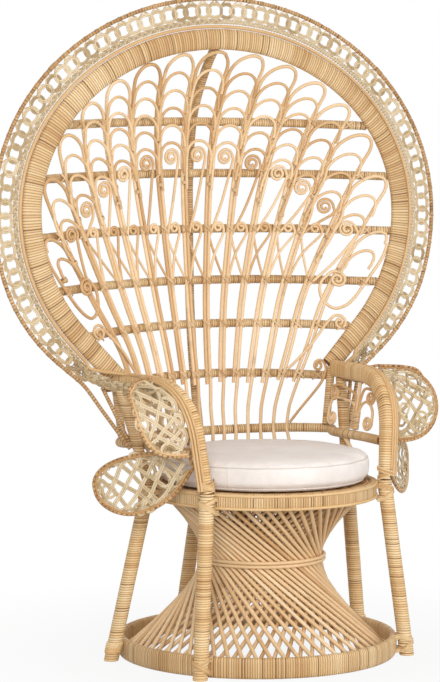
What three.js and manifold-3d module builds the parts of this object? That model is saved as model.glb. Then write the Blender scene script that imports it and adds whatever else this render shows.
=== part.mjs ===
// Rattan peacock chair: a round-backed wicker armchair on an hourglass pedestal, with a loose cushion.
// Millimetres, +Z up, the front faces -Y, and the floor point under the base ring is the origin.

import * as THREE from 'three';
import { mergeVertices } from 'three/addons/utils/BufferGeometryUtils.js';
import Module from 'manifold-3d';

const wasm = await Module();
wasm.setup();

// Clearances
const FIT = 0.3; // between pieces that touch
const LAP = 0.8; // between bent rods and the bars they cross
const TIE = 1; // between two rods that run side by side

// Pedestal
const BASE_RADIUS = 322; // outer face of the wrapped base ring
const BASE_HEIGHT = 48;
const RING_THICKNESS = 18;
const SEAT_RADIUS = 258; // outer face of the wrapped seat ring
const SEAT_HEIGHT = 38;
const SEAT_TOP = 404;
const SEAT_FORWARD = 30; // the seat sits ahead of the middle of the base
const LEG_RADIUS = 17;
const FRONT_LEG_DEG = 59; // angle from straight ahead, at the seat
const FRONT_FOOT_DEG = 53; // at the floor
const SIDE_LEG_DEG = 103;
const REAR_LEG_DEG = 180;
const CANE_COUNT = 54; // in each of the two layers
const CANE_RADIUS = 4.2;
const WAIST_RADIUS = 136; // to the middle of the outer canes at the narrowest place
const INNER_TOP_GAP = 16.5; // from the outer layer of canes in to the inner one
const INNER_WAIST_GAP = 13;
const INNER_FOOT_GAP = 18;
const WAIST_HOOP_RADIUS = 4;
const DECK_THICKNESS = 10;
const SLAT_WIDTH = 30;
const SLAT_HEIGHT = 9;
const CANE_RING_WIDTH = 12; // hoops under the slats that carry the canes
const CANE_RING_HEIGHT = 8;

// Cushion
const CUSHION_INSET = 14; // from the outer face of the seat ring to the cushion's edge
const CUSHION_SIDE = 54; // height of the sewn side band
const CUSHION_CROWN = 22;
const CUSHION_BULGE = 4;

// Hoop of the back: a wrapped band on an ellipse that runs straight on into the arms
const HOOP_Z = 1010; // height of the widest place
const HOOP_HALF_WIDTH = 500; // to the middle of the band
const HOOP_RISE = 402;
const HOOP_DROP = 430;
const HOOP_STRAIGHT_DEG = -40; // below this the band runs straight
const HOOP_Y = 150;
const HOOP_RECLINE_DEG = 1.5;
const HOOP_ABOVE_ARM = 6; // where the band ends, above the middle of the arm's rear end
const BAND_WIDTH = 48;
const BAND_THICKNESS = 20;
const EDGE_ROD_RADIUS = 5;
const LACE_WIDTH = 54;
const LACE_THICKNESS = 5;
const LACE_LOOPS = 30; // on each half of the hoop
const LACE_BELOW_BAND = 5;
const RIM_ROD_RADIUS = 5;
const RIM_BELOW_BAND = 35; // where the rim rod turns to its strut

// Fan of bent rods inside the hoop
const DISH_DEPTH = 122; // how far the fan sinks behind the hoop
const DISH_Z = 860;
const DISH_ABOVE = 540;
const DISH_BELOW = 663;
const STILE_X = 296;
const BAR_HEIGHTS = [1222, 1100, 968, 846, 742, 624];
const BAR_BOW = 10;
const BAR_RADIUS = 10;
const RAIL_Z = 490;
const RAIL_RADIUS = 11;
const RAIL_FLARE = 30; // how far the rail swings out behind the prop
const SPINE_RADIUS = 11;
const ROD_RADIUS = 4.2;
const ROD_FOOT = 8; // upright end of a rod on the seat ring
const FAN_COLUMNS = 11;
const FAN_ROOT_Z = 255; // where the straight ribs would meet
const FAN_ROOT_PITCH = 29;
const FAN_SPREAD = 0.083; // growth of the rib pitch with height
const ARCHES = 4;
const ARCH_PITCH = 52;
const SCROLL_RADIUS = 3.5;
const BIG_SCROLL = 19;
const BIG_SCROLL_Z = 1143;
const BIG_SCROLL_SAG = 125; // how far the row of scrolls sinks at the outer columns
const SMALL_SCROLL = 12.5;
const SMALL_SCROLL_LIFT = 16;
const PETAL_RADIUS = 24;
const PETAL_STEM = 6.2; // place of the stem, in rib pitches from the middle
const PETALS = 3;
const PETAL_TOP_Z = 1075;
const PETAL_STEP_Z = 92;
const PETAL_ROOT_DROP = 115;

// Arms
const ARM_LEAN_OUT = 24; // how far the arm's top lies outside the leg's head
const ARM_REAR_SPLAY = 38;
const ARM_REAR_Z = 634;
const ARM_FRONT_Y = -10;
const ARM_FRONT_Z = 634;
const ARM_BEND_Y = -158;
const ARM_BEND_Z = 520;
const ARM_WIDTH = 24;
const ARM_THICKNESS = 40;
const ARM_FOOT_THICKNESS = 26;
const PROP_RADIUS = 13;
const PROP_Y = 104;
const STILE_RADIUS = 10;
const STRUT_END_Z = 482; // where the rim rod's lower end meets the prop
const ARM_SCROLL_Y = -15; // the bundle that the scrolls grow from
const ARM_SCROLL_TIE = 40; // height of the bundle over the rail
const ARM_SCROLL = 18;
const UPPER_SCROLL_Z = 580;
const LOWER_SCROLL_Z = 522;
const REAR_SCROLL_Y = 84;
const FRONT_SCROLL_Y = -64;

// Lace wings outside the arms
const WING_ROD_RADIUS = 4;
const WING_THICKNESS = 5;
const WING_HOLE = 14;
const WING_HOLE_RING = 36;
const UPPER_WING_EYE = 0.47; // place of the rosette's middle, as a share of the reach
const LOWER_WING_EYE = 0.6;
const UPPER_WING_ROUND = [0.42, 1.1]; // above and below the middle; under 1 the D is squarer
const LOWER_WING_ROUND = [0.75, 0.75];
const UPPER_WING_TOP = 646;
const UPPER_WING_BOTTOM = 488;
const UPPER_WING_REACH = 122;
const LOWER_WING_TOP = 494;
const LOWER_WING_BOTTOM = 334;
const LOWER_WING_REACH = 237;
const LOWER_WING_CLIMB = 130; // how far the rim's lower end climbs to the post
const LOWER_WING_DEG = 50; // turned back from the side direction

// Facets
const RING_STEPS = 32;
const HOOP_STEPS = 22;
const POST_SIDES = 10;
const BAR_SIDES = 6;
const TOP_ARCH_STEPS = 6;
const ROD_SIDES = 4;
const SCROLL_SIDES = 3;

const wrapped = new THREE.MeshStandardMaterial({ color: 0xc8975a, roughness: 0.55, metalness: 0 });
const cane = new THREE.MeshStandardMaterial({ color: 0xd4a468, roughness: 0.5, metalness: 0 });
const lace = new THREE.MeshStandardMaterial({ color: 0xd9c59a, roughness: 0.6, metalness: 0 });
const weave = new THREE.MeshStandardMaterial({ color: 0xb98a52, roughness: 0.7, metalness: 0 });
const fabric = new THREE.MeshStandardMaterial({ color: 0xe9e0d8, roughness: 0.9, metalness: 0 });

const chair = new THREE.Group();

function add(name, geometry, material) {
  const mesh = new THREE.Mesh(geometry, material);
  mesh.name = name;
  chair.add(mesh);
}

// General shapes

const radians = THREE.MathUtils.degToRad;
const clamp01 = (value) => THREE.MathUtils.clamp(value, 0, 1);
const vec = (x, y, z) => new THREE.Vector3(x, y, z);

// A curve through listed points, with one step from each point to the next.
class Route extends THREE.Curve {
  constructor(points) {
    super();
    this.points = points;
  }

  getPoint(t, target = new THREE.Vector3()) {
    const place = t * (this.points.length - 1);
    const i = Math.min(Math.floor(place), this.points.length - 2);
    return target.lerpVectors(this.points[i], this.points[i + 1], place - i);
  }

  getPointAt(u, target) {
    return this.getPoint(u, target);
  }

  getTangentAt(u, target) {
    return this.getTangent(u, target);
  }
}

function circle(radius, sides, x = 0, y = 0) {
  const points = [];
  for (let i = 0; i < sides; i += 1) {
    const angle = (i / sides) * Math.PI * 2;
    points.push(new THREE.Vector2(x + radius * Math.cos(angle), y + radius * Math.sin(angle)));
  }
  return points;
}

function tube(points, radius, sides = 6) {
  return new THREE.ExtrudeGeometry(new THREE.Shape(circle(radius, sides)), {
    steps: points.length - 1,
    bevelEnabled: false,
    extrudePath: new Route(points),
  });
}

// Moves every vertex of a geometry by a rule.
function warp(geometry, move) {
  const position = geometry.attributes.position;
  const point = new THREE.Vector3();
  for (let i = 0; i < position.count; i += 1) {
    point.fromBufferAttribute(position, i);
    move(point);
    position.setXYZ(i, point.x, point.y, point.z);
  }
  geometry.computeVertexNormals();
  return geometry;
}

// An upright plate: its outline is drawn in X and Z, and its thickness is centred on Y = 0.
function plate(outline, holes, thickness) {
  const shape = new THREE.Shape(outline);
  shape.holes = holes.map((hole) => new THREE.Path(hole));
  const geometry = new THREE.ExtrudeGeometry(shape, { depth: thickness, bevelEnabled: false });
  geometry.translate(0, 0, -thickness / 2);
  geometry.rotateX(Math.PI / 2);
  return geometry;
}

// A ring about Z, from a closed profile of radius and height.
function ring(profile, steps = RING_STEPS) {
  const points = profile.map(([radius, z]) => new THREE.Vector2(radius, z));
  points.push(points[0].clone());
  const geometry = new THREE.LatheGeometry(points, steps);
  geometry.rotateX(Math.PI / 2);
  return geometry;
}

function roundProfile(middle, z, radius, sides) {
  return circle(radius, sides, middle, z).map((point) => [point.x, point.y]);
}

// A post whose ends are cut level, whatever its lean.
function leaningPost(foot, head, radius) {
  const height = head.z - foot.z;
  const geometry = new THREE.CylinderGeometry(radius, radius, height, POST_SIDES);
  geometry.rotateX(Math.PI / 2);
  geometry.translate(0, 0, height / 2);
  return warp(geometry, (point) => {
    const share = point.z / height;
    point.x += foot.x + (head.x - foot.x) * share;
    point.y += foot.y + (head.y - foot.y) * share;
    point.z += foot.z;
  });
}

function toManifold(geometry) {
  const bare = geometry.clone();
  bare.deleteAttribute('normal');
  bare.deleteAttribute('uv');
  const merged = mergeVertices(bare, 1e-3);
  return new wasm.Manifold(new wasm.Mesh({
    numProp: 3,
    vertProperties: new Float32Array(merged.attributes.position.array),
    triVerts: new Uint32Array(merged.index.array),
  }));
}

// Joins overlapping geometries into one body.
function join(geometries) {
  let solid = toManifold(geometries[0]);
  for (const geometry of geometries.slice(1)) {
    solid = solid.add(toManifold(geometry));
  }
  const mesh = solid.getMesh();
  const joined = new THREE.BufferGeometry();
  joined.setAttribute('position', new THREE.BufferAttribute(mesh.vertProperties, 3));
  joined.setIndex(new THREE.BufferAttribute(mesh.triVerts, 1));
  joined.computeVertexNormals();
  return joined;
}

// Moves a line of X, Z points sideways, to the right of its direction.
function offsetLine(points, distance) {
  return points.map((point, i) => {
    const before = points[Math.max(i - 1, 0)];
    const after = points[Math.min(i + 1, points.length - 1)];
    const direction = after.clone().sub(before).normalize();
    return new THREE.Vector2(point.x + direction.y * distance, point.y - direction.x * distance);
  });
}

const SIDES = [['left', -1], ['right', 1]];

// Pedestal: rings, legs and the twisted canes

const legCircle = (radius) => radius + LEG_RADIUS + FIT;

function legEnd(degrees, radius, forward, z) {
  const angle = radians(degrees);
  return vec(legCircle(radius) * Math.sin(angle), -legCircle(radius) * Math.cos(angle) - forward, z);
}

const legHead = (degrees) => legEnd(degrees, SEAT_RADIUS, SEAT_FORWARD, SEAT_TOP);

// The leg touches the top of the base ring, and its foot stands further out.
function legFoot(degrees, footDegrees = degrees) {
  const head = legHead(degrees);
  const touch = legEnd(footDegrees, BASE_RADIUS, 0, BASE_HEIGHT);
  return touch.sub(head).multiplyScalar(SEAT_TOP / (SEAT_TOP - BASE_HEIGHT)).add(head);
}

function addRings() {
  const band = (outer, bottom, top) => {
    const inner = outer - RING_THICKNESS;
    const ease = RING_THICKNESS / 5;
    return [
      [inner, bottom], [outer - ease, bottom], [outer, bottom + ease],
      [outer, top - ease], [outer - ease, top], [inner, top],
    ];
  };
  add('base_ring', ring(band(BASE_RADIUS, 0, BASE_HEIGHT)), wrapped);
  const seat = ring(band(SEAT_RADIUS, SEAT_TOP - SEAT_HEIGHT, SEAT_TOP));
  add('seat_ring', seat.translate(0, -SEAT_FORWARD, 0), wrapped);
}

function addLegs() {
  const legs = [
    ['front_left_leg', -FRONT_LEG_DEG, -FRONT_FOOT_DEG], ['front_right_leg', FRONT_LEG_DEG, FRONT_FOOT_DEG],
    ['side_left_leg', -SIDE_LEG_DEG], ['side_right_leg', SIDE_LEG_DEG],
    ['rear_leg', REAR_LEG_DEG],
  ];
  for (const [name, degrees, footDegrees] of legs) {
    add(name, leaningPost(legFoot(degrees, footDegrees), legHead(degrees), LEG_RADIUS), wrapped);
  }
}

// The canes are straight, and their twist pulls them in to the waist. The inner ones twist the other way.
const CANE_RING_TOP = SEAT_TOP - DECK_THICKNESS - SLAT_HEIGHT - 2 * FIT;
const CANE_TOP_Z = CANE_RING_TOP - CANE_RING_HEIGHT / 2;
const CANE_FOOT_Z = BASE_HEIGHT / 4;
const caneTop = SEAT_RADIUS - RING_THICKNESS - FIT - CANE_RING_WIDTH / 2;
const caneFoot = BASE_RADIUS - RING_THICKNESS - FIT - CANE_RADIUS;
const OUTER_LAYER = { top: caneTop, foot: caneFoot, waist: WAIST_RADIUS };
const INNER_LAYER = {
  top: caneTop - INNER_TOP_GAP, foot: caneFoot - INNER_FOOT_GAP, waist: WAIST_RADIUS - INNER_WAIST_GAP,
};

function waistOf({ top, foot }, twist) {
  const across = Math.sqrt(top ** 2 + foot ** 2 - 2 * top * foot * Math.cos(twist));
  return (top * foot * Math.sin(twist)) / across;
}

function caneTwist(layer) {
  let low = Math.PI / 2;
  let high = Math.PI;
  for (let i = 0; i < 60; i += 1) {
    const middle = (low + high) / 2;
    if (waistOf(layer, middle) > layer.waist) {
      low = middle;
    } else {
      high = middle;
    }
  }
  return low;
}

const TWIST = caneTwist(OUTER_LAYER);

// Share of the way down from the top at which the canes come nearest to the middle.
function waistShare() {
  const dot = caneTop * caneFoot * Math.cos(TWIST);
  return (caneTop ** 2 - dot) / (caneTop ** 2 + caneFoot ** 2 - 2 * dot);
}

const WAIST_Z = CANE_TOP_Z + (CANE_FOOT_Z - CANE_TOP_Z) * waistShare();
const pedestalShift = (z) => (-SEAT_FORWARD * (z - CANE_FOOT_Z)) / (CANE_TOP_Z - CANE_FOOT_Z);

function caneRadiusAt(z) {
  const share = (CANE_TOP_Z - z) / (CANE_TOP_Z - CANE_FOOT_Z);
  const x = (1 - share) * caneTop + share * caneFoot * Math.cos(TWIST);
  const y = share * caneFoot * Math.sin(TWIST);
  return Math.hypot(x, y);
}

function addCanes(name, layer, twist) {
  const { top, foot } = layer;
  const canes = [];
  for (let i = 0; i < CANE_COUNT; i += 1) {
    const angle = (i / CANE_COUNT) * Math.PI * 2;
    const head = vec(top * Math.sin(angle), -top * Math.cos(angle) - SEAT_FORWARD, CANE_TOP_Z);
    const end = vec(foot * Math.sin(angle + twist), -foot * Math.cos(angle + twist), CANE_FOOT_Z);
    canes.push(tube([end, head], CANE_RADIUS, 3));
  }
  const outer = top + CANE_RING_WIDTH / 2;
  const inner = top - CANE_RING_WIDTH / 2;
  const bottom = CANE_RING_TOP - CANE_RING_HEIGHT;
  const carrier = ring([[inner, bottom], [outer, bottom], [outer, CANE_RING_TOP], [inner, CANE_RING_TOP]]);
  carrier.translate(0, -SEAT_FORWARD, 0);
  add(name, join([carrier, ...canes]), cane);
}

function addWaistHoops() {
  for (const [name, side] of [['lower_waist_hoop', -1], ['upper_waist_hoop', 1]]) {
    const z = WAIST_Z + side * (WAIST_HOOP_RADIUS + FIT);
    const far = caneRadiusAt(z + side * WAIST_HOOP_RADIUS);
    const middle = far + CANE_RADIUS + WAIST_HOOP_RADIUS + LAP;
    const hoop = ring(roundProfile(middle, z, WAIST_HOOP_RADIUS, 4));
    add(name, hoop.translate(0, pedestalShift(z), 0), cane);
  }
}

function addSeat() {
  const reach = SEAT_RADIUS - RING_THICKNESS - FIT;
  const deck = new THREE.CylinderGeometry(reach, reach, DECK_THICKNESS, RING_STEPS);
  deck.rotateX(Math.PI / 2);
  deck.translate(0, -SEAT_FORWARD, SEAT_TOP - DECK_THICKNESS / 2);
  add('seat_deck', deck, weave);

  const flat = reach * Math.cos(Math.PI / RING_STEPS);
  const length = 2 * Math.sqrt(flat ** 2 - (SLAT_WIDTH / 2) ** 2) - 2 * FIT;
  const along = new THREE.BoxGeometry(SLAT_WIDTH, length, SLAT_HEIGHT);
  const across = new THREE.BoxGeometry(length, SLAT_WIDTH, SLAT_HEIGHT);
  const slats = join([along, across]);
  slats.translate(0, -SEAT_FORWARD, SEAT_TOP - DECK_THICKNESS - FIT - SLAT_HEIGHT / 2);
  add('seat_slats', slats, cane);
}

const cushionRadius = SEAT_RADIUS - CUSHION_INSET;

function addCushion() {
  const bottom = SEAT_TOP + FIT;
  const seam = bottom + CUSHION_SIDE;
  const edge = CUSHION_SIDE / 9; // rounding beside each seam
  const profile = [
    [0, bottom], [cushionRadius - 2 * edge, bottom], [cushionRadius - edge / 2, bottom + edge],
  ];
  for (const share of [0.3, 0.5, 0.7]) {
    const bulge = CUSHION_BULGE * Math.sin(Math.PI * share);
    profile.push([cushionRadius - edge / 2 + bulge, bottom + CUSHION_SIDE * share]);
  }
  profile.push([cushionRadius - edge / 2, seam - edge / 2], [cushionRadius - 2 * edge, seam]);
  for (const share of [0.85, 0.68, 0.5, 0.3]) {
    profile.push([cushionRadius * share, seam + CUSHION_CROWN * (1 - share ** 3)]);
  }
  profile.push([0, seam + CUSHION_CROWN]);
  const points = profile.map(([radius, z]) => new THREE.Vector2(radius, z));
  const cushion = new THREE.LatheGeometry(points, RING_STEPS);
  cushion.rotateX(Math.PI / 2);
  cushion.translate(0, -SEAT_FORWARD, 0);
  add('cushion', cushion, fabric);
}

// Hoop of the back

const hoopEndZ = ARM_REAR_Z + HOOP_ABOVE_ARM;
const laceEndZ = hoopEndZ - LACE_BELOW_BAND;
const rimEndZ = hoopEndZ - RIM_BELOW_BAND;

const hoopY = (z) => HOOP_Y + Math.tan(radians(HOOP_RECLINE_DEG)) * (z - HOOP_Z);

// A point on the hoop's ellipse, moved outwards by a distance, as X and Z.
function hoopPoint(angle, distance) {
  const tall = angle > 0 ? HOOP_RISE : HOOP_DROP;
  const normal = new THREE.Vector2(Math.cos(angle) / HOOP_HALF_WIDTH, Math.sin(angle) / tall).normalize();
  return new THREE.Vector2(
    HOOP_HALF_WIDTH * Math.cos(angle) + normal.x * distance,
    HOOP_Z + tall * Math.sin(angle) + normal.y * distance,
  );
}

// Half of a line that keeps its distance from the middle of the band, from the top down to a height.
function hoopLine(distance, endZ, steps = HOOP_STEPS) {
  const points = [];
  const turn = radians(HOOP_STRAIGHT_DEG);
  for (let i = 0; i <= steps; i += 1) {
    points.push(hoopPoint(Math.PI / 2 + (turn - Math.PI / 2) * (i / steps), distance));
  }
  const last = points[steps];
  const down = new THREE.Vector2(HOOP_HALF_WIDTH * Math.sin(turn), -HOOP_DROP * Math.cos(turn)).normalize();
  points.push(last.clone().addScaledVector(down, (endZ - last.y) / down.y));
  return points;
}

const EDGE_ROD_OFFSET = BAND_WIDTH / 2 + FIT + EDGE_ROD_RADIUS;
const LACE_INNER = EDGE_ROD_OFFSET + EDGE_ROD_RADIUS + FIT;
const LACE_OUTER = LACE_INNER + LACE_WIDTH;
const RIM_OFFSET = LACE_OUTER + FIT + RIM_ROD_RADIUS;

const leanWithHoop = (geometry) => warp(geometry, (point) => {
  point.y += hoopY(point.z);
});
const toSide = (points, side) => points.map((point) => (
  new THREE.Vector2(side * (point.x + FIT / 2), point.y)));
const onHoop = (points, side) => points.map((point) => (
  vec(side * (point.x + LAP / 2), hoopY(point.y), point.y)));

function addHoopBands() {
  for (const [name, side] of SIDES) {
    const outer = hoopLine(BAND_WIDTH / 2, hoopEndZ);
    const inner = hoopLine(-BAND_WIDTH / 2, hoopEndZ);
    const outline = toSide([...outer, ...inner.reverse()], side);
    add(`hoop_band_${name}`, leanWithHoop(plate(outline, [], BAND_THICKNESS)), wrapped);
    const edge = onHoop(hoopLine(EDGE_ROD_OFFSET, laceEndZ), side);
    add(`hoop_edge_rod_${name}`, tube(edge, EDGE_ROD_RADIUS, 5), cane);
  }
}

// The lace is a chain of round loops between the edge rod and the rim rod.
function addLace() {
  const middle = (LACE_INNER + LACE_OUTER) / 2;
  const loop = LACE_WIDTH / 2 - LACE_THICKNESS;
  for (const [name, side] of SIDES) {
    const outer = hoopLine(LACE_OUTER, laceEndZ);
    const inner = hoopLine(LACE_INNER, laceEndZ);
    const outline = toSide([...outer, ...inner.reverse()], side);
    const route = new THREE.SplineCurve(hoopLine(middle, laceEndZ));
    const pitch = route.getLength() / LACE_LOOPS;
    const narrow = Math.min(loop, pitch / 2 - LACE_THICKNESS / 2);
    const holes = [];
    for (let i = 0; i < LACE_LOOPS - 1; i += 1) {
      const centre = route.getPointAt((i + 0.55) / LACE_LOOPS);
      const along = route.getTangentAt((i + 0.55) / LACE_LOOPS);
      const hole = circle(1, 5).map((point) => new THREE.Vector2(
        centre.x + along.x * point.x * narrow - along.y * point.y * loop,
        centre.y + along.y * point.x * narrow + along.x * point.y * loop,
      ));
      holes.push(toSide(hole, side));
    }
    add(`lace_border_${name}`, leanWithHoop(plate(outline, holes, LACE_THICKNESS)), lace);
  }
}

// Surface of the dished fan

function dishWidth(z) {
  const tall = (z > HOOP_Z ? HOOP_RISE : HOOP_DROP) - BAND_WIDTH / 2;
  const share = Math.min(Math.abs(z - HOOP_Z) / tall, 1);
  const width = (HOOP_HALF_WIDTH - BAND_WIDTH / 2) * Math.sqrt(1 - share ** 2);
  return z > HOOP_Z ? Math.max(width, 1) : Math.max(width, STILE_X);
}

function dishDepth(x, z) {
  const middle = z > DISH_Z
    ? 1 - ((z - DISH_Z) / DISH_ABOVE) ** 4
    : 1 - ((DISH_Z - z) / DISH_BELOW) ** 2;
  return DISH_DEPTH * clamp01(middle) * clamp01(1 - (x / dishWidth(z)) ** 2);
}

// The flat of a bar's facet rests on the back of the band.
const BAR_FLAT = BAR_RADIUS * Math.cos(Math.PI / BAR_SIDES);
const barY = (x, z) => hoopY(z) + BAND_THICKNESS / 2 + FIT + BAR_FLAT + dishDepth(x, z);

// How much longer a step through the sloping dish is along Y than square to it.
function dishLean(x, z) {
  const step = BAR_RADIUS;
  const slopeX = (barY(x + step, z) - barY(x - step, z)) / (2 * step);
  const slopeZ = (barY(x, z + step) - barY(x, z - step)) / (2 * step);
  return Math.sqrt(1 + slopeX ** 2 + slopeZ ** 2);
}

// The rods lie in front of the bars, and below the rail they come down on the seat ring.
function rodY(x, z) {
  const onDish = (height) => barY(x, height) - (BAR_RADIUS + ROD_RADIUS) * dishLean(x, height) - LAP;
  if (z >= RAIL_Z) {
    return onDish(z);
  }
  const landing = SEAT_RADIUS - ROD_RADIUS - TIE;
  const onRing = Math.sqrt(Math.max(landing ** 2 - x ** 2, 0)) - SEAT_FORWARD;
  const foot = SEAT_TOP + ROD_FOOT;
  const share = clamp01((z - foot) / (RAIL_Z - foot));
  return onRing + (onDish(RAIL_Z) - onRing) * share;
}

const onFan = (points) => points.map((point) => vec(point.x, rodY(point.x, point.y), point.y));

// Line of the arm, and the prop under it

const frontHead = legHead(FRONT_LEG_DEG);
const ARM_REAR_Y = hoopY(ARM_REAR_Z) - BAND_THICKNESS / 2 - LAP;

// Middle line of the arm as Y and Z, from the hoop to the front leg.
function armLine() {
  const rear = new THREE.Vector2(ARM_REAR_Y, ARM_REAR_Z);
  const front = new THREE.Vector2(ARM_FRONT_Y, ARM_FRONT_Z);
  const bend = new THREE.Vector2(ARM_BEND_Y, ARM_BEND_Z);
  const foot = new THREE.Vector2(frontHead.y, SEAT_TOP + FIT);
  const corner = new THREE.Vector2(ARM_BEND_Y + (ARM_BEND_Y - ARM_FRONT_Y) * -0.12, ARM_FRONT_Z);
  const curve = new THREE.QuadraticBezierCurve(front, corner, bend);
  const middle = rear.clone().lerp(front, 0.5);
  return [rear, middle, ...curve.getPoints(8), bend.clone().lerp(foot, 0.5), foot];
}

const ARM_LINE = armLine();

const armTopZ = ARM_FRONT_Z + ARM_THICKNESS / 2;

// X of the arm's middle: it leans out with height and spreads toward the back.
function armX(y, z) {
  const lean = clamp01((z - SEAT_TOP) / (armTopZ - SEAT_TOP));
  const splay = (y - frontHead.y) / (ARM_REAR_Y - frontHead.y);
  return frontHead.x + ARM_LEAN_OUT * lean + ARM_REAR_SPLAY * splay;
}

// Half the thickness of the arm at a height: it tapers down the post.
function armHalf(z) {
  const share = clamp01((z - SEAT_TOP) / (ARM_FRONT_Z - SEAT_TOP));
  return (ARM_FOOT_THICKNESS + (ARM_THICKNESS - ARM_FOOT_THICKNESS) * share) / 2;
}

// The arm's line moved out or in by a share of half its thickness at each point.
function armEdge(shareAt) {
  const out = offsetLine(ARM_LINE, 1);
  const last = ARM_LINE.length - 1;
  return ARM_LINE.map((point, i) => {
    const reach = armHalf(point.y) * shareAt(point.y);
    if (i === 0) {
      return new THREE.Vector2(point.x, point.y + reach);
    }
    if (i === last) {
      return new THREE.Vector2(point.x - reach, point.y);
    }
    return point.clone().lerp(out[i], reach);
  });
}

// Y of a side line at a height, along the bend and the post.
function yOnLine(line, z) {
  for (let i = line.length - 1; i > 2; i -= 1) {
    const low = line[i];
    const high = line[i - 1];
    if (z <= high.y) {
      return low.x + (high.x - low.x) * clamp01((z - low.y) / (high.y - low.y));
    }
  }
  return line[2].x;
}

const armY = (z) => yOnLine(ARM_LINE, z);

const armSlope = (ARM_REAR_Z - ARM_FRONT_Z) / (ARM_REAR_Y - ARM_FRONT_Y);
const armZ = (y) => ARM_FRONT_Z + armSlope * (y - ARM_FRONT_Y);
const propFoot = legHead(SIDE_LEG_DEG).setZ(SEAT_TOP + FIT);
const propHead = vec(
  armX(PROP_Y, ARM_REAR_Z) + PROP_RADIUS / 2, PROP_Y,
  armZ(PROP_Y) - armHalf(ARM_FRONT_Z) - LAP,
);

const propAt = (z) => propFoot.clone().lerp(propHead, (z - propFoot.z) / (propHead.z - propFoot.z));

// Bars, rail and spine behind the fan

function addBars() {
  BAR_HEIGHTS.forEach((height, i) => {
    const reach = Math.max(dishWidth(height - BAR_BOW), STILE_X) + BAND_WIDTH / 4;
    const steps = 12;
    const points = [];
    for (let step = 0; step <= steps; step += 1) {
      const share = (2 * step) / steps - 1;
      const z = height - BAR_BOW * share ** 2;
      points.push(vec(reach * share, barY(reach * share, z), z));
    }
    add(`cross_bar_${i + 1}`, tube(points, BAR_RADIUS, BAR_SIDES), wrapped);
  });
}

const railReach = 0.72 * STILE_X;
const railTurnX = propAt(RAIL_Z).x - PROP_RADIUS - RAIL_RADIUS - LAP;

function addRail() {
  const back = [];
  const steps = 12;
  for (let step = 0; step <= steps; step += 1) {
    const x = railReach * (1 - (2 * step) / steps);
    back.push(vec(x, barY(x, RAIL_Z) + RAIL_RADIUS - BAR_RADIUS, RAIL_Z));
  }
  const frontY = armY(RAIL_Z + RAIL_RADIUS) + armHalf(RAIL_Z + RAIL_RADIUS) + LAP;
  const frontX = armX(armY(RAIL_Z), RAIL_Z);
  const rearY = hoopY(RAIL_Z);
  const half = [
    vec(frontX, frontY, RAIL_Z),
    vec(railTurnX, frontY / 3, RAIL_Z),
    vec(railTurnX, rearY / 2, RAIL_Z),
    vec(railTurnX + RAIL_FLARE, rearY - RAIL_RADIUS, RAIL_Z),
    vec(railTurnX + RAIL_FLARE - 2 * RAIL_RADIUS, rearY + 2 * RAIL_RADIUS, RAIL_Z),
  ];
  const mirrored = half.map((point) => vec(-point.x, point.y, point.z)).reverse();
  add('seat_back_rail', tube([...half, ...back, ...mirrored], RAIL_RADIUS, 6), wrapped);
}

function addSpine() {
  const behindBars = (z) => barY(0, z) + BAR_RADIUS + SPINE_RADIUS + LAP;
  const top = HOOP_Z + HOOP_RISE;
  const levels = 16;
  const start = BAR_HEIGHTS[0] + 2 * BAR_RADIUS;
  const footY = legHead(REAR_LEG_DEG).y;
  const points = [
    vec(0, footY, SEAT_TOP + FIT), vec(0, footY, SEAT_TOP + SPINE_RADIUS),
    vec(0, behindBars(RAIL_Z) + 2 * (RAIL_RADIUS - BAR_RADIUS), RAIL_Z),
  ];
  for (let i = 1; i <= levels; i += 1) {
    const z = RAIL_Z + ((start - RAIL_Z) * i) / levels;
    points.push(vec(0, behindBars(z), z));
  }
  const behindBand = (z) => hoopY(z) + BAND_THICKNESS / 2 + SPINE_RADIUS + LAP;
  for (let i = 1; i <= 6; i += 1) {
    const share = i / 6;
    const z = start + (top - start) * share;
    points.push(vec(0, Math.max(behindBars(z) - 2 * BAR_RADIUS * share, behindBand(z)), z));
  }
  add('back_spine', tube(points, SPINE_RADIUS, 6), wrapped);
}

// Fan columns: each is a long hairpin with arches and two scrolls between its sides

const ribX = (rib, z) => {
  const straight = Math.max(FAN_SPREAD * (z - FAN_ROOT_Z), 0);
  return rib * (FAN_ROOT_PITCH ** 4 + straight ** 4) ** 0.25;
};
const RIB_SIDE = ROD_RADIUS + TIE / 2;
const FAN_LEVELS = [
  SEAT_TOP + FIT, SEAT_TOP + ROD_FOOT, RAIL_Z, ...[...BAR_HEIGHTS].reverse(),
  BAR_HEIGHTS[0] + ARCH_PITCH, BAR_HEIGHTS[0] + 2 * ARCH_PITCH,
];

const stemX = (column, side, z) => ribX(column + side / 2, z) - side * RIB_SIDE;
const archRadius = (column, z) => (stemX(column, 1, z) - stemX(column, -1, z)) / 2;

// An arch between a column's two sides, leaning with the column, as X and Z points.
function arch(column, z, steps = 4) {
  const points = [];
  const radius = archRadius(column, z);
  for (let i = 0; i <= steps; i += 1) {
    const angle = Math.PI * (1 - i / steps);
    const height = z + radius * Math.sin(angle);
    points.push(new THREE.Vector2(ribX(column, height) + radius * Math.cos(angle), height));
  }
  return points;
}

// Height at which a column's top arch springs, so that the arch just touches the band.
function topSpring(column) {
  const band = hoopLine(0, hoopEndZ, 3 * HOOP_STEPS);
  const room = (z) => {
    const nearest = arch(Math.abs(column), z, TOP_ARCH_STEPS).map((place) => (
      Math.min(...band.map((point) => point.distanceTo(place)))));
    return Math.min(...nearest) - BAND_WIDTH / 2 - ROD_RADIUS - LAP;
  };
  let low = HOOP_Z;
  let high = HOOP_Z + HOOP_RISE - BAND_WIDTH;
  for (let i = 0; i < 40; i += 1) {
    const middle = (low + high) / 2;
    if (room(middle) > 0) {
      low = middle;
    } else {
      high = middle;
    }
  }
  return low;
}

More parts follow.
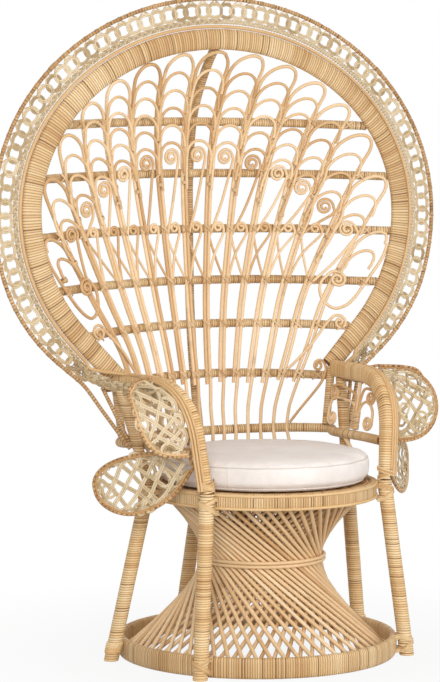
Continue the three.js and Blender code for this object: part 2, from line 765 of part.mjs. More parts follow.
// A flat scroll that winds inwards from its start angle, as X and Z points.
function scroll(x, z, radius, turns, startDeg, direction, steps) {
  const points = [];
  const pitch = 2 * SCROLL_RADIUS + TIE;
  for (let i = 0; i <= steps; i += 1) {
    const share = i / steps;
    const angle = radians(startDeg) + direction * share * turns * Math.PI * 2;
    const reach = radius - pitch * turns * share;
    points.push(new THREE.Vector2(x + reach * Math.cos(angle), z + reach * Math.sin(angle)));
  }
  return points;
}

function fanColumn(column) {
  const spring = topSpring(column);
  const levels = FAN_LEVELS.filter((z) => z < spring - ROD_RADIUS);
  const side = (which) => levels.map((z) => new THREE.Vector2(stemX(column, which, z), z));
  const hairpin = [...side(-1), ...arch(column, spring, TOP_ARCH_STEPS), ...side(1).reverse()];
  const rods = [tube(onFan(hairpin), ROD_RADIUS, ROD_SIDES)];
  for (let i = 1; i < ARCHES; i += 1) {
    rods.push(tube(onFan(arch(column, spring - i * ARCH_PITCH)), ROD_RADIUS, ROD_SIDES));
  }

  const outward = Math.abs(column) / ((FAN_COLUMNS - 1) / 2);
  const bigZ = BIG_SCROLL_Z - BIG_SCROLL_SAG * outward ** 2;
  const bigFoot = bigZ - 3 * BIG_SCROLL;
  const bigStem = new THREE.Vector2(stemX(column, 1, bigFoot), bigFoot);
  const big = [bigStem, ...scroll(ribX(column, bigZ), bigZ, BIG_SCROLL, 1.3, 0, 1, 9)];
  rods.push(tube(onFan(big), SCROLL_RADIUS, SCROLL_SIDES));

  const smallZ = BAR_HEIGHTS[2] + SMALL_SCROLL_LIFT - (BIG_SCROLL_SAG * outward) / 10;
  const smallFoot = smallZ - 4 * SMALL_SCROLL;
  const smallStem = new THREE.Vector2(stemX(column, -1, smallFoot), smallFoot);
  const small = [smallStem, ...scroll(ribX(column, smallZ), smallZ, SMALL_SCROLL, 0.8, 180, -1, 5)];
  rods.push(tube(onFan(small), SCROLL_RADIUS, SCROLL_SIDES));
  return join(rods);
}

function addFan() {
  const half = (FAN_COLUMNS - 1) / 2;
  for (let i = 0; i < FAN_COLUMNS; i += 1) {
    add(`fan_column_${i + 1}`, fanColumn(i - half), cane);
  }
}

// Petals at the sides: teardrop loops that grow from an outer stem and touch the band

function petal(root, middle, side) {
  const start = Math.atan2(middle.y - root(0).y, middle.x - root(0).x);
  const loop = [];
  for (let i = 0; i <= 6; i += 1) {
    const angle = start + radians(-105 + 35 * i);
    const reach = new THREE.Vector2(Math.cos(angle), Math.sin(angle)).multiplyScalar(PETAL_RADIUS);
    loop.push(reach.add(middle));
  }
  const line = [root(-PETAL_RADIUS / 2), ...loop, root(PETAL_RADIUS / 2)];
  return tube(onFan(line.map((point) => new THREE.Vector2(side * point.x, point.y))), ROD_RADIUS, ROD_SIDES);
}

function addPetals() {
  const inside = BAND_WIDTH / 2 + ROD_RADIUS + LAP + PETAL_RADIUS;
  const middles = hoopLine(-inside, hoopEndZ, 3 * HOOP_STEPS);
  const stemTop = PETAL_TOP_Z - PETAL_ROOT_DROP + PETAL_RADIUS;
  for (const [name, side] of SIDES) {
    const stem = [];
    for (const z of [...FAN_LEVELS.filter((level) => level < stemTop - ROD_RADIUS), stemTop]) {
      stem.push(new THREE.Vector2(side * ribX(PETAL_STEM, z), z));
    }
    const rods = [tube(onFan(stem), ROD_RADIUS, ROD_SIDES)];
    for (let i = 0; i < PETALS; i += 1) {
      const z = PETAL_TOP_Z - i * PETAL_STEP_Z;
      const middle = middles.reduce((best, point) => (
        Math.abs(point.y - z) < Math.abs(best.y - z) ? point : best));
      const rootZ = z - PETAL_ROOT_DROP;
      const root = (lift) => new THREE.Vector2(ribX(PETAL_STEM, rootZ + lift), rootZ + lift);
      rods.push(petal(root, middle, side));
    }
    add(`side_petals_${name}`, join(rods), cane);
  }
}

// Arms with their props and stiles

function addArms() {
  const outline = [...armEdge(() => 1), ...armEdge(() => -1).reverse()];
  for (const [name, side] of SIDES) {
    const geometry = plate(outline, [], ARM_WIDTH);
    // The outline's X becomes Y, and the plate's thickness becomes the arm's width.
    const strip = warp(geometry, (point) => {
      const along = point.x;
      point.x = side * armX(along, point.z) + point.y;
      point.y = along;
    });
    add(`arm_${name}`, flipInsideOut(strip), wrapped);
  }
}

// Turns the faces of a geometry round after a mirroring move.
function flipInsideOut(geometry) {
  const bare = geometry.clone();
  bare.deleteAttribute('normal');
  bare.deleteAttribute('uv');
  const merged = mergeVertices(bare, 1e-3);
  const index = merged.index.array;
  for (let i = 0; i < index.length; i += 3) {
    [index[i], index[i + 1]] = [index[i + 1], index[i]];
  }
  merged.computeVertexNormals();
  return merged;
}

function addProps() {
  for (const [name, side] of SIDES) {
    const foot = propFoot.clone().setX(side * propFoot.x);
    const head = propHead.clone().setX(side * propHead.x);
    add(`arm_prop_${name}`, leaningPost(foot, head, PROP_RADIUS), wrapped);
    const footX = railTurnX + RAIL_FLARE - (2 * RAIL_RADIUS) / 3;
    const low = vec(side * footX, hoopY(RAIL_Z), RAIL_Z + RAIL_RADIUS + FIT);
    const high = vec(side * STILE_X, hoopY(hoopEndZ), hoopEndZ - FIT);
    add(`arm_stile_${name}`, leaningPost(low, high, STILE_RADIUS), wrapped);
  }
}

// The rim rod runs round the lace, then down as a strut to the prop under the arm.
function addRims() {
  const axis = propAt(STRUT_END_Z);
  for (const [name, side] of SIDES) {
    const line = onHoop(hoopLine(RIM_OFFSET, rimEndZ), 1);
    const away = line[line.length - 1].clone().sub(axis).setZ(0).normalize();
    line.push(axis.clone().addScaledVector(away, PROP_RADIUS + RIM_ROD_RADIUS + LAP));
    const points = line.map((point) => point.setX(side * point.x));
    add(`rim_rod_${name}`, tube(points, RIM_ROD_RADIUS, 5), cane);
  }
}

// Scrolls that fill the side between the arm and the rail

function addArmScrolls() {
  const low = RAIL_Z + RAIL_RADIUS + FIT;
  const top = armZ(ARM_SCROLL_Y) - armHalf(ARM_FRONT_Z) - 2 * LAP;
  const topX = armX(ARM_SCROLL_Y, top);
  const planeX = (z) => railTurnX + ((topX - railTurnX) * (z - RAIL_Z)) / (top - RAIL_Z);
  for (const [name, side] of SIDES) {
    const place = (points) => points.map((point) => vec(side * planeX(point.y), point.x, point.y));
    const upright = [new THREE.Vector2(ARM_SCROLL_Y, low), new THREE.Vector2(ARM_SCROLL_Y, top)];
    const rods = [tube(place(upright), ROD_RADIUS, 5)];
    for (const [way, middle] of [[-1, FRONT_SCROLL_Y], [1, REAR_SCROLL_Y]]) {
      const root = new THREE.Vector2(ARM_SCROLL_Y, low + ARM_SCROLL_TIE);
      const high = scroll(middle, UPPER_SCROLL_Z, ARM_SCROLL, 1.3, 90, -way, 6);
      const bend = new THREE.Vector2(ARM_SCROLL_Y + way * ARM_SCROLL / 2, UPPER_SCROLL_Z);
      rods.push(tube(place([root, bend, ...high]), SCROLL_RADIUS, SCROLL_SIDES));
      const outer = middle + way * ARM_SCROLL;
      const lower = scroll(middle, LOWER_SCROLL_Z, ARM_SCROLL, 1.3, way > 0 ? 0 : 180, -way, 6);
      const crown = LOWER_SCROLL_Z + 2.5 * ARM_SCROLL;
      const rise = new THREE.Vector2(ARM_SCROLL_Y + way * ARM_SCROLL, crown);
      const fall = new THREE.Vector2(outer - way * ARM_SCROLL / 2, crown);
      rods.push(tube(place([root, rise, fall, ...lower]), SCROLL_RADIUS, SCROLL_SIDES));
    }
    add(`arm_scrolls_${name}`, join(rods), cane);
  }
}

// Lace wings: a rim rod bent to a D, with a pierced sheet of lace inside it

// Line of the upper wing on the arm's side: it moves out from the post's middle toward the top.
const WING_LINE = armEdge((z) => 0.7 * clamp01((z - LOWER_WING_TOP) / (armTopZ - LOWER_WING_TOP)));

// Middle of the front leg or the line of the wing on the post above it, at a height.
function frontAxis(z) {
  if (z < SEAT_TOP) {
    return frontHead.clone().lerp(legFoot(FRONT_LEG_DEG, FRONT_FOOT_DEG), 1 - z / SEAT_TOP);
  }
  const y = yOnLine(WING_LINE, z);
  return vec(armX(y, z), y, z);
}

function addWing(name, side, { top, bottom, reach, round, climb, eye, start, degrees }) {
  const across = vec(Math.cos(radians(degrees)), Math.sin(radians(degrees)), 0);
  const at = (out, z) => {
    const point = frontAxis(z).addScaledVector(across, start + out);
    return vec(side * point.x, point.y, z);
  };
  const middle = (top + bottom) / 2;
  const steps = 12;
  const bow = [];
  for (let i = 0; i <= steps; i += 1) {
    const angle = Math.PI * (0.5 - i / steps);
    const out = reach * Math.max(Math.cos(angle), 0) ** round[angle < 0 ? 1 : 0];
    const lift = angle < 0 ? climb * (1 - out / reach) ** 2.5 : 0;
    bow.push(new THREE.Vector2(out, middle + ((top - bottom) / 2) * Math.sin(angle) + lift));
  }
  const rim = bow.map((point) => at(Math.max(point.x, WING_ROD_RADIUS * 0.8), point.y));
  add(`${name}_rim`, tube(rim, WING_ROD_RADIUS, ROD_SIDES), cane);

  const outline = offsetLine(bow, WING_ROD_RADIUS + LAP).slice(1, -1);
  const first = outline[0].y;
  const last = Math.max(outline[outline.length - 1].y, bow[steps].y + 2 * (WING_ROD_RADIUS + LAP));
  const onPost = [last, ARM_BEND_Z, SEAT_TOP].filter((z) => z >= last && z < first);
  const sheet = [[0, first]].concat(outline.map((point) => [point.x, point.y]), onPost.map((z) => [0, z]))
    .map(([out, z]) => new THREE.Vector2(out, z));
  const eyeZ = middle + climb / 16;
  const holes = [circle(WING_HOLE, 6, reach * eye, eyeZ)];
  for (const place of circle(WING_HOLE_RING, 6, reach * eye, eyeZ)) {
    holes.push(circle(WING_HOLE, 6, place.x, place.y));
  }
  const geometry = warp(plate(sheet, holes, WING_THICKNESS), (point) => {
    const base = at(point.x, point.z);
    point.set(base.x, base.y + point.y, point.z);
  });
  add(`${name}_lace`, side > 0 ? geometry : flipInsideOut(geometry), lace);
}

function addWings() {
  for (const [name, side] of SIDES) {
    addWing(`upper_wing_${name}`, side, {
      top: UPPER_WING_TOP, bottom: UPPER_WING_BOTTOM, reach: UPPER_WING_REACH, round: UPPER_WING_ROUND,
      climb: 0, eye: UPPER_WING_EYE, start: ARM_WIDTH / 2 + LAP, degrees: 0,
    });
    addWing(`lower_wing_${name}`, side, {
      top: LOWER_WING_TOP, bottom: LOWER_WING_BOTTOM, reach: LOWER_WING_REACH, round: LOWER_WING_ROUND,
      climb: LOWER_WING_CLIMB, eye: LOWER_WING_EYE, start: LEG_RADIUS * 1.28 + FIT, degrees: LOWER_WING_DEG,
    });
  }
}

addRings();
addLegs();
addCanes('pedestal_canes', OUTER_LAYER, TWIST);
addCanes('inner_canes', INNER_LAYER, -caneTwist(INNER_LAYER));
addWaistHoops();
addSeat();
addCushion();
addHoopBands();
addLace();
addBars();
addRail();
addSpine();
addFan();
addPetals();
addArms();
addProps();
addRims();
addArmScrolls();
addWings();

// The origin is the floor point under the middle of the whole chair.
const middle = new THREE.Box3().setFromObject(chair).getCenter(new THREE.Vector3());
chair.position.set(-middle.x, -middle.y, 0);

export default chair;
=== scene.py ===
# Rattan peacock chair: round rods, bindings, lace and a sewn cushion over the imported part.
import math
import random

import bpy
import numpy as np
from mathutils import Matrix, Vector
from mathutils.bvhtree import BVHTree


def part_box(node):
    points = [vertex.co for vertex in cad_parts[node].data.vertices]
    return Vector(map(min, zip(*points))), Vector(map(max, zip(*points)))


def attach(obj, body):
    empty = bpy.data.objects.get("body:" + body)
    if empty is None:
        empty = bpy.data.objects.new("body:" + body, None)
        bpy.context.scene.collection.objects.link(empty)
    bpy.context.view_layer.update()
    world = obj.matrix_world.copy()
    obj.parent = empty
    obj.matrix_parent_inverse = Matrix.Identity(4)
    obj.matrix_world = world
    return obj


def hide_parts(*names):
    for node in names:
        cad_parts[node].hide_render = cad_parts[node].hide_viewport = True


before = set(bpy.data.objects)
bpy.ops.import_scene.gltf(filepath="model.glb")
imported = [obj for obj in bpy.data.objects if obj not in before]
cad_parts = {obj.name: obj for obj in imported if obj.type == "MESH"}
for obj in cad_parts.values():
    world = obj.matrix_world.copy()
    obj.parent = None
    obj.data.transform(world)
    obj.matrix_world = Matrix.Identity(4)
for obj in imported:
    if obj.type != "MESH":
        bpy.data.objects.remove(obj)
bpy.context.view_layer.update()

rng = random.Random(11)
MM = 0.001
FRAME_BODY = "chair_frame"
ring_low, ring_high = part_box("base_ring")
SHIFT = np.array([(ring_low.x + ring_high.x) / 2, (ring_low.y + ring_high.y) / 2, 0.0])
SIDES = (("left", -1), ("right", 1))
UP = (0, 0, 1)
FRONT = np.array([0.0, -1.0, 0.0])

# Sizes in millimetres, from the middle of the base ring
FIT, LAP = 0.3, 0.8  # between pieces that touch, and between bent rods and the bars they cross
WRAP, RIDGE = 5.6, 0.6  # width and height of one turn of a binding
BASE_RADIUS, BASE_HEIGHT, RING_THICKNESS = 322, 48, 18
SEAT_RADIUS, SEAT_HEIGHT, SEAT_TOP, SEAT_FORWARD = 258, 38, 404, 30
LEG_RADIUS = 17
HEAD_CIRCLE, FOOT_CIRCLE = SEAT_RADIUS + LEG_RADIUS + FIT, BASE_RADIUS + LEG_RADIUS + FIT
LEG_DEGREES = {"front_left_leg": -59, "front_right_leg": 59, "side_left_leg": -103,
               "side_right_leg": 103, "rear_leg": 180}
FOOT_DEGREES = {"front_left_leg": -53, "front_right_leg": 53}
CANE_COUNT, CANE_RADIUS, CANE_FOOT_Z, CANE_TOP_Z, WAIST_RADIUS = 54, 4.6, 12.0, 380.4, 136
# Node, radius at the top, at the foot and at the waist, and way of the twist
CANE_LAYERS = (("pedestal_canes", 233.7, 299.5, WAIST_RADIUS, 1),
               ("inner_canes", 217.2, 281.5, WAIST_RADIUS - 13, -1))
DECK_RADIUS, DECK_Z, DECK_STRIP = 238, SEAT_TOP - 5, 13.0
CUSHION_RADIUS, CUSHION_SIDE, CUSHION_CROWN = 250, 54, 22
HOOP_Z, HOOP_HALF_WIDTH, HOOP_RISE, HOOP_DROP, HOOP_Y = 1010, 500, 402, 430, 150
HOOP_STRAIGHT = math.radians(-40)
HOOP_SLOPE = math.tan(math.radians(1.5))
HOOP_END_Z, LACE_END_Z, EDGE_ROD_END_Z = 640, 635, 676
BAND_WIDTH, BAND_THICKNESS, EDGE_ROD_RADIUS, LACE_WIDTH, RIM_ROD_RADIUS = 48, 20, 5, 54, 5
EDGE_ROD_AWAY = BAND_WIDTH / 2 + FIT + EDGE_ROD_RADIUS
LACE_IN = EDGE_ROD_AWAY + EDGE_ROD_RADIUS + FIT
LACE_OUT = LACE_IN + LACE_WIDTH
RIM_AWAY = LACE_OUT + FIT + RIM_ROD_RADIUS
LACE_LINKS, LINK_AWAY, LINK_HALF_WIDTH = 40, LACE_IN + 31, 15.4
LACE_TAPER, LACE_TAPER_RUN = 0.4, 260
DISH_DEPTH, DISH_Z, DISH_ABOVE, DISH_BELOW, STILE_X = 122, 860, 540, 663, 296
BAR_HEIGHTS, BAR_BOW, BAR_RADIUS, BAR_BEHIND = [1222, 1100, 968, 846, 742, 624], 10, 10, 8.66
RAIL_Z, RAIL_RADIUS, RAIL_FLARE, RAIL_BEND, RAIL_REAR_X = 490, 11, 30, 22, 213
SPINE_RADIUS, SPINE_KNEE_Z, SPINE_EASE_Z, SPINE_TOP_Z = 11, 415, 1242, 1412
ROD_RADIUS, ROD_FOOT_Z, ROD_FOOT_RADIUS, STEM_GAP = 4.2, 412, 252.8, 4.7
RIB_PITCH, RIB_FAN, RIB_FAN_Z = 29.0, 0.083, 255  # at the seat, growth with height, and from where
SPREAD, SPREAD_RIB, SPREAD_Z, SPREAD_EASE = 0.035, 4.5, 700, 0.02  # more for the outermost ribs
FAN_REACH, ARCH_PITCH, ARCH_FORWARD = 7, 38, 7.0
BIG_SCROLL, BIG_SCROLL_Z, SMALL_SCROLL = 20.5, 1143, 12.8
ARM_LEAN_OUT, ARM_REAR_SPLAY, ARM_REAR_Z = 24, 38, 634
ARM_FRONT_Y, ARM_FRONT_Z, ARM_BEND_Y, ARM_BEND_Z, ARM_ROUND = -10, 634, -158, 520, 0.12
ARM_WIDTH, ARM_THICKNESS, ARM_FOOT_THICKNESS, ARM_RODS_Y = 24, 40, 26, 84
PROP_RADIUS, PROP_Y, PROP_OUT, STILE_RADIUS, STRUT_END_Z = 13, 104, 6.5, 10, 482
SCROLL_Y, SCROLL_FOOT = -15, RAIL_Z + RAIL_RADIUS + FIT
WING_ROD_RADIUS, WING_MEET_Z, WING_LIFT, LATTICE = 4, 494, 0.7, 28.0
UPPER_WING = dict(top=652, bottom=488, reach=114, climb=0, eye=0.47, start=ARM_WIDTH / 2 + 18,
                  degrees=0, rounding=(0.5, 0.58))
LOWER_WING = dict(top=WING_MEET_Z, bottom=330, reach=234, climb=130, eye=0.6,
                  start=LEG_RADIUS * 1.28 + FIT, degrees=43, rounding=(0.75, 0.75))

# One turn of a binding: share of its width, height and shade; now and then a turn stands open
EVEN_TURN = ((0.0, 0.0, 1.0), (0.2, 0.75, 0.22), (0.55, 1.0, 0.0), (0.82, 0.75, 0.22))
OPEN_TURN = EVEN_TURN[:1] + ((0.3, 0.15, 1.0),) + EVEN_TURN[2:]
OPEN_SHARE = 0.09
GRAIN_RUN = 40  # metres of grain, of which each strand shows another part
SHARP = math.radians(62)


# Curves and frames

def columns(*values):
    return np.stack(np.broadcast_arrays(*values), 1)


def joined(*parts):
    return np.concatenate(parts)


def unit(v):
    v = np.asarray(v, float)
    return v / np.maximum(np.linalg.norm(v, axis=-1, keepdims=True), 1e-9)


def circle(count):
    """Angles in even steps, once round."""
    return np.arange(count) * 2 * math.pi / count


def lengths(points):
    return joined([0.0], np.cumsum(np.linalg.norm(np.diff(points, axis=0), axis=1)))


def between(places, run, values):
    """Values that are known along a run, read off at other places."""
    return np.stack([np.interp(places, run, column) for column in values.T], 1)


def along_line(points, places):
    return between(places, lengths(points), points)


def resample(points, step):
    points = np.asarray(points, float)
    total = lengths(points)[-1]
    return along_line(points, np.linspace(0, total, max(2, int(round(total / step)) + 1)))


def smooth(points, step, fine=14):
    """A soft curve through the points, in even steps."""
    p = np.asarray(points, float)
    p = joined([2 * p[0] - p[1]], p, [2 * p[-1] - p[-2]])
    t = np.linspace(0, 1, fine, endpoint=False)[:, None]
    parts = []
    for a, b, c, d in zip(p[:-3], p[1:-2], p[2:-1], p[3:]):
        parts.append(0.5 * (2 * b + (c - a) * t + (2 * a - 5 * b + 4 * c - d) * t ** 2
                            + (3 * b - a - 3 * c + d) * t ** 3))
    return resample(np.concatenate(parts + [p[-2:-1]]), step)


def frames(points, hint=None, loop=False):
    """Two directions square to the line at each point; the second one leans to the hint."""
    if loop:
        t = unit(np.roll(points, -1, 0) - np.roll(points, 1, 0))
    else:
        t = unit(np.gradient(points, axis=0))
    if hint is not None:
        b = np.broadcast_to(np.asarray(hint, float), points.shape)
        b = unit(b - (b * t).sum(1, keepdims=True) * t)
        return np.cross(b, t), b
    n = np.empty_like(points)
    first = np.array([0.0, 0.0, 1.0]) if abs(t[0, 2]) < 0.9 else np.array([1.0, 0.0, 0.0])
    n[0] = unit(first - (first @ t[0]) * t[0])
    for i in range(1, len(points)):
        n[i] = unit(n[i - 1] - (n[i - 1] @ t[i]) * t[i])
    return n, np.cross(t, n)


def highest(holds, low, high, steps):
    """By halving, the highest value for which a test still holds."""
    for _ in range(steps):
        middle = (low + high) / 2
        low, high = (middle, high) if holds(middle) else (low, middle)
    return low


def round_section(radius, sides):
    a = circle(sides)
    return columns(radius * np.cos(a), radius * np.sin(a))


def soft_box(width, height, sides=18, power=3.2):
    a = (np.arange(sides) + 0.5) * 2 * math.pi / sides
    c, s = np.cos(a), np.sin(a)
    return np.stack([width / 2 * np.sign(c) * np.abs(c) ** (2 / power),
                     height / 2 * np.sign(s) * np.abs(s) ** (2 / power)], 1)


def ribbon_section(width, thickness):
    """A flat strip of two strands side by side."""
    w, t = width / 2, thickness / 2
    half = [(-w, 0), (-0.75 * w, -t), (-0.25 * w, -t), (0, -0.3 * t), (0.25 * w, -t), (0.75 * w, -t)]
    return np.array(half + [(-x, -y) for x, y in half])


# Painted shade across a ribbon: most at its two edges and in the crease between its strands
RIBBON_PAINTED_SHADE = np.array([[0.75, 0.08, 0.08, 0.7, 0.08, 0.08] * 2])


# Meshes

def add(name, data):
    made = bpy.data.objects.new(name, data)
    bpy.context.scene.collection.objects.link(made)
    return made


def new_piece(name, points, faces):
    mesh = bpy.data.meshes.new(name)
    mesh.from_pydata((points * MM + SHIFT).tolist(), [], faces)
    return add(name, mesh)


class Strands:
    """Gathers swept strands into one mesh, with shading values at each vertex."""

    def __init__(self):
        self.points, self.faces = [], []
        self.values = {"tint": [], "painted_groove_shade": [], "along": []}
        self.count = 0

    def grid(self, grid, tint, painted_groove_shade, along, loop=False):
        rows, cols = grid.shape[:2]
        i = np.arange(rows if loop else rows - 1)[:, None]
        j = np.arange(cols)[None, :]
        k, m = (i + 1) % rows, (j + 1) % cols
        quads = np.stack([i * cols + j, i * cols + m, k * cols + m, k * cols + j], -1)
        self.faces += (quads.reshape(-1, 4) + self.count).tolist()
        if not loop:
            self.faces.append(list(range(self.count + cols - 1, self.count - 1, -1)))
            last = self.count + (rows - 1) * cols
            self.faces.append(list(range(last, last + cols)))
        self.points.append(grid.reshape(-1, 3))
        for parts, value in zip(self.values.values(), (tint, painted_groove_shade, along)):
            value = np.asarray(value, float)
            column = np.broadcast_to(value if value.ndim == 2 else value.reshape(-1, 1), (rows, cols))
            parts.append(column.reshape(-1))
        self.count += rows * cols

    def sweep(self, points, section, hint=None, loop=False, tint=None, scale=None, painted_groove_shade=0.0):
        points = np.asarray(points, float)
        n, b = frames(points, hint, loop)
        size = np.ones(len(points)) if scale is None else np.asarray(scale, float)
        offset = section[None] * size[:, None, None]
        grid = points[:, None] + offset[..., :1] * n[:, None] + offset[..., 1:] * b[:, None]
        run = lengths(points) * MM + rng.random() * GRAIN_RUN
        self.grid(grid, rng.random() if tint is None else tint, painted_groove_shade, run, loop)

    def rod(self, points, radius, sides=8, **options):
        self.sweep(points, round_section(radius, sides), **options)

    def ribbon(self, points, width, thickness, **options):
        self.sweep(points, ribbon_section(width, thickness), painted_groove_shade=RIBBON_PAINTED_SHADE, **options)

    def wrapped(self, points, section, pitch=WRAP, ridge=RIDGE, hint=None, loop=False, level=False,
                scale=None):
        """A pole bound edge to edge in split cane: each turn stands up as a ridge."""
        points = np.asarray(points, float)
        if loop:
            points = joined(points, points[:1])
        if level:
            n, b = np.broadcast_to(np.eye(3)[:2, None], (2, *points.shape))
        else:
            n, b = frames(points, hint)
            if loop:
                n[0] = n[-1] = unit(n[0] + n[-1])
                b[0] = b[-1] = unit(b[0] + b[-1])
        run = lengths(points)
        turns = max(3, int(round(run[-1] / pitch)))
        widths = np.array([0.82 + 0.36 * rng.random() for _ in range(turns)])
        starts = joined([0.0], np.cumsum(widths)) / widths.sum() * run[-1]
        rows = []
        drift = rng.random()
        for low, high in zip(starts[:-1], starts[1:]):
            drift = min(max(drift + 0.5 * (rng.random() - 0.5), 0.0), 1.0)
            shade = 0.5 * drift + 0.5 * rng.random()
            lift = 0.8 + 0.4 * rng.random()
            turn = OPEN_TURN if rng.random() < OPEN_SHARE else EVEN_TURN
            rows += [(low + (high - low) * share, height * lift, dark, shade) for share, height, dark in turn]
        if not loop:
            rows.append((run[-1], 0.0, 1.0, shade))
        # The third column is painted shade: full in the gap before each turn, a little on its flanks, none on
        # its crown
        places, rise, painted_groove_shade, tint = np.array(rows).T
        middle = along_line(points, places)
        side, face = between(places, run, n), between(places, run, b)
        if not level:
            side, face = unit(side), unit(face)
        edge = np.roll(section, -1, 0) - np.roll(section, 1, 0)
        out = unit(columns(edge[:, 1], -edge[:, 0]))
        size = np.ones((len(places), 1, 2))
        if scale is not None:
            size[:, 0, 0] = np.interp(places, run, scale)
        offset = section[None] * size + out[None] * (rise * ridge)[:, None, None]
        grid = middle[:, None] + offset[..., :1] * side[:, None] + offset[..., 1:] * face[:, None]
        self.grid(grid, tint, painted_groove_shade, places * MM + rng.random() * GRAIN_RUN, loop)

    def make(self, name, look, *nodes, body=FRAME_BODY):
        slot, material = look
        piece = new_piece(name, np.concatenate(self.points), self.faces)
        for key, parts in self.values.items():
            layer = piece.data.attributes.new(key, "FLOAT", "POINT")
            layer.data.foreach_set("value", np.concatenate(parts).astype(np.float32))
        piece.data.shade_smooth()
        piece.data.set_sharp_from_angle(angle=SHARP)
        piece.data.materials.append(material)
        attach(piece, body)
        if nodes:
            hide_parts(*nodes)


# Materials

BLACK, WHITE = (0, 0, 0, 1), (1, 1, 1, 1)


def linear(colour):
    def one(value):
        value /= 255
        return value / 12.92 if value <= 0.04045 else ((value + 0.055) / 1.055) ** 2.4
    return (*map(one, colour), 1.0)


class Shader:
    """A small helper that wires the nodes of a material or of the world."""

    def __init__(self, owner):
        owner.use_nodes = True
        self.owner, self.tree = owner, owner.node_tree
        self.surface = self.tree.nodes.get("Principled BSDF")

    def wire(self, made, inputs):
        for key, value in inputs.items():
            if isinstance(value, bpy.types.NodeSocket):
                self.tree.links.new(value, made.inputs[key])
            else:
                made.inputs[key].default_value = value

    def node(self, kind, inputs=(), **settings):
        made = self.tree.nodes.new(kind)
        for key, value in settings.items():
            setattr(made, key, value)
        self.wire(made, dict(inputs))
        return made

    def place(self):
        return self.node("ShaderNodeTexCoord").outputs["Object"]

    def value(self, name):
        return self.node("ShaderNodeAttribute", attribute_name=name).outputs["Fac"]

    def math(self, operation, a, b):
        return self.node("ShaderNodeMath", {0: a, 1: b}, operation=operation).outputs[0]

    def weigh(self, a, share_a, b, share_b):
        return self.math("ADD", self.math("MULTIPLY", a, share_a), self.math("MULTIPLY", b, share_b))

    def mix(self, share, a, b, blend="MIX"):
        made = self.node("ShaderNodeMix", {0: share, 6: a, 7: b}, data_type="RGBA", blend_type=blend)
        return made.outputs[2]

    def noise(self, vector, scale, detail=3.0, rough=0.55):
        return self.node("ShaderNodeTexNoise", {"Vector": vector, "Scale": scale, "Detail": detail,
                                                "Roughness": rough}).outputs["Fac"]

    def ramp(self, share, stops):
        made = self.node("ShaderNodeValToRGB", {0: share})
        band = made.color_ramp
        while len(band.elements) < len(stops):
            band.elements.new(0.5)
        for element, (place, colour) in zip(band.elements, stops):
            element.position = place
            element.color = colour
        return made.outputs["Color"]

    def bump(self, height, strength, distance):
        return self.node("ShaderNodeBump", {"Height": height, "Strength": strength,
                                            "Distance": distance}).outputs["Normal"]

    def seen(self):
        """One for what is looked at, also in a mirror or through glass, and nothing for light that falls."""
        ray = self.node("ShaderNodeLightPath").outputs
        beyond = self.math("MAXIMUM", ray["Is Glossy Ray"], ray["Is Transmission Ray"])
        return self.math("MAXIMUM", ray["Is Camera Ray"], beyond)


def rattan(name, dark, base, light, painted_groove_shade, rough, marks=0.5, sheen=0.35):
    """Cane with a tone for each strand, lengthwise streaks, darker joints and shade in its grooves."""
    dark, base, light, painted_groove_shade = map(linear, (dark, base, light, painted_groove_shade))
    s = Shader(bpy.data.materials.new(name))
    place = s.place()
    tint, run, painted_shade_amount = s.value("tint"), s.value("along"), s.value("painted_groove_shade")
    tone = s.weigh(tint, 0.62, s.noise(place, 9.0, 2.0), 0.38)
    # The lowest tone stop takes the groove colour, for the darkest strands
    colour = s.ramp(tone, [(0.0, painted_groove_shade), (0.14, dark), (0.45, base), (0.85, light)])
    joint = s.node("ShaderNodeCombineXYZ", {"X": run, "Y": s.math("MULTIPLY", tint, 90.0)}).outputs[0]
    ring = s.ramp(s.noise(joint, 14.0, 2.0), [(0.64, BLACK), (0.72, WHITE)])
    colour = s.mix(s.math("MULTIPLY", ring, marks), colour, tuple(0.62 * v for v in dark[:3]) + (1,))
    streak = s.noise(place, 240.0, 3.0, 0.7)
    shading = s.ramp(streak, [(0.3, (0.42, 0.4, 0.38, 1)), (0.7, WHITE)])
    colour = s.mix(0.22, colour, shading, "MULTIPLY")
    # Painted shade: the grooves between turns and the creases of the ribbons are drawn toward the groove
    # colour
    colour = s.mix(s.math("MULTIPLY", painted_shade_amount, 0.85), colour, painted_groove_shade)
    gloss = s.math("ADD", s.math("MULTIPLY", streak, 0.22), rough - 0.1)
    s.wire(s.surface, {"Base Color": colour, "Roughness": gloss, "Specular IOR Level": sheen,
                       "Normal": s.bump(s.noise(place, 700.0, 2.0), 0.25, 0.0006)})
    return s.owner


def cloth(name, base, shade):
    """Plain cotton: crossed threads about a millimetre apart, with soft unevenness."""
    base, shade = linear(base), linear(shade)
    s = Shader(bpy.data.materials.new(name))
    place = s.place()
    threads = {"Vector": place, "Scale": 260.0, "Distortion": 1.2, "Detail": 1.0}
    x, y, z = (s.node("ShaderNodeTexWave", threads, bands_direction=way).outputs["Fac"] for way in "XYZ")
    weave = s.weigh(x, y, z, 0.6)
    slub = s.noise(place, 420.0, 2.0)
    colour = s.ramp(s.weigh(s.noise(place, 14.0), 0.6, slub, 0.4), [(0.3, shade), (0.65, base)])
    s.wire(s.surface, {"Base Color": s.mix(s.math("MULTIPLY", weave, 0.1), colour, shade),
                       "Roughness": 0.92, "Specular IOR Level": 0.2, "Sheen Weight": 0.12,
                       "Normal": s.bump(s.math("ADD", weave, slub), 0.3, 0.0007)})
    return s.owner


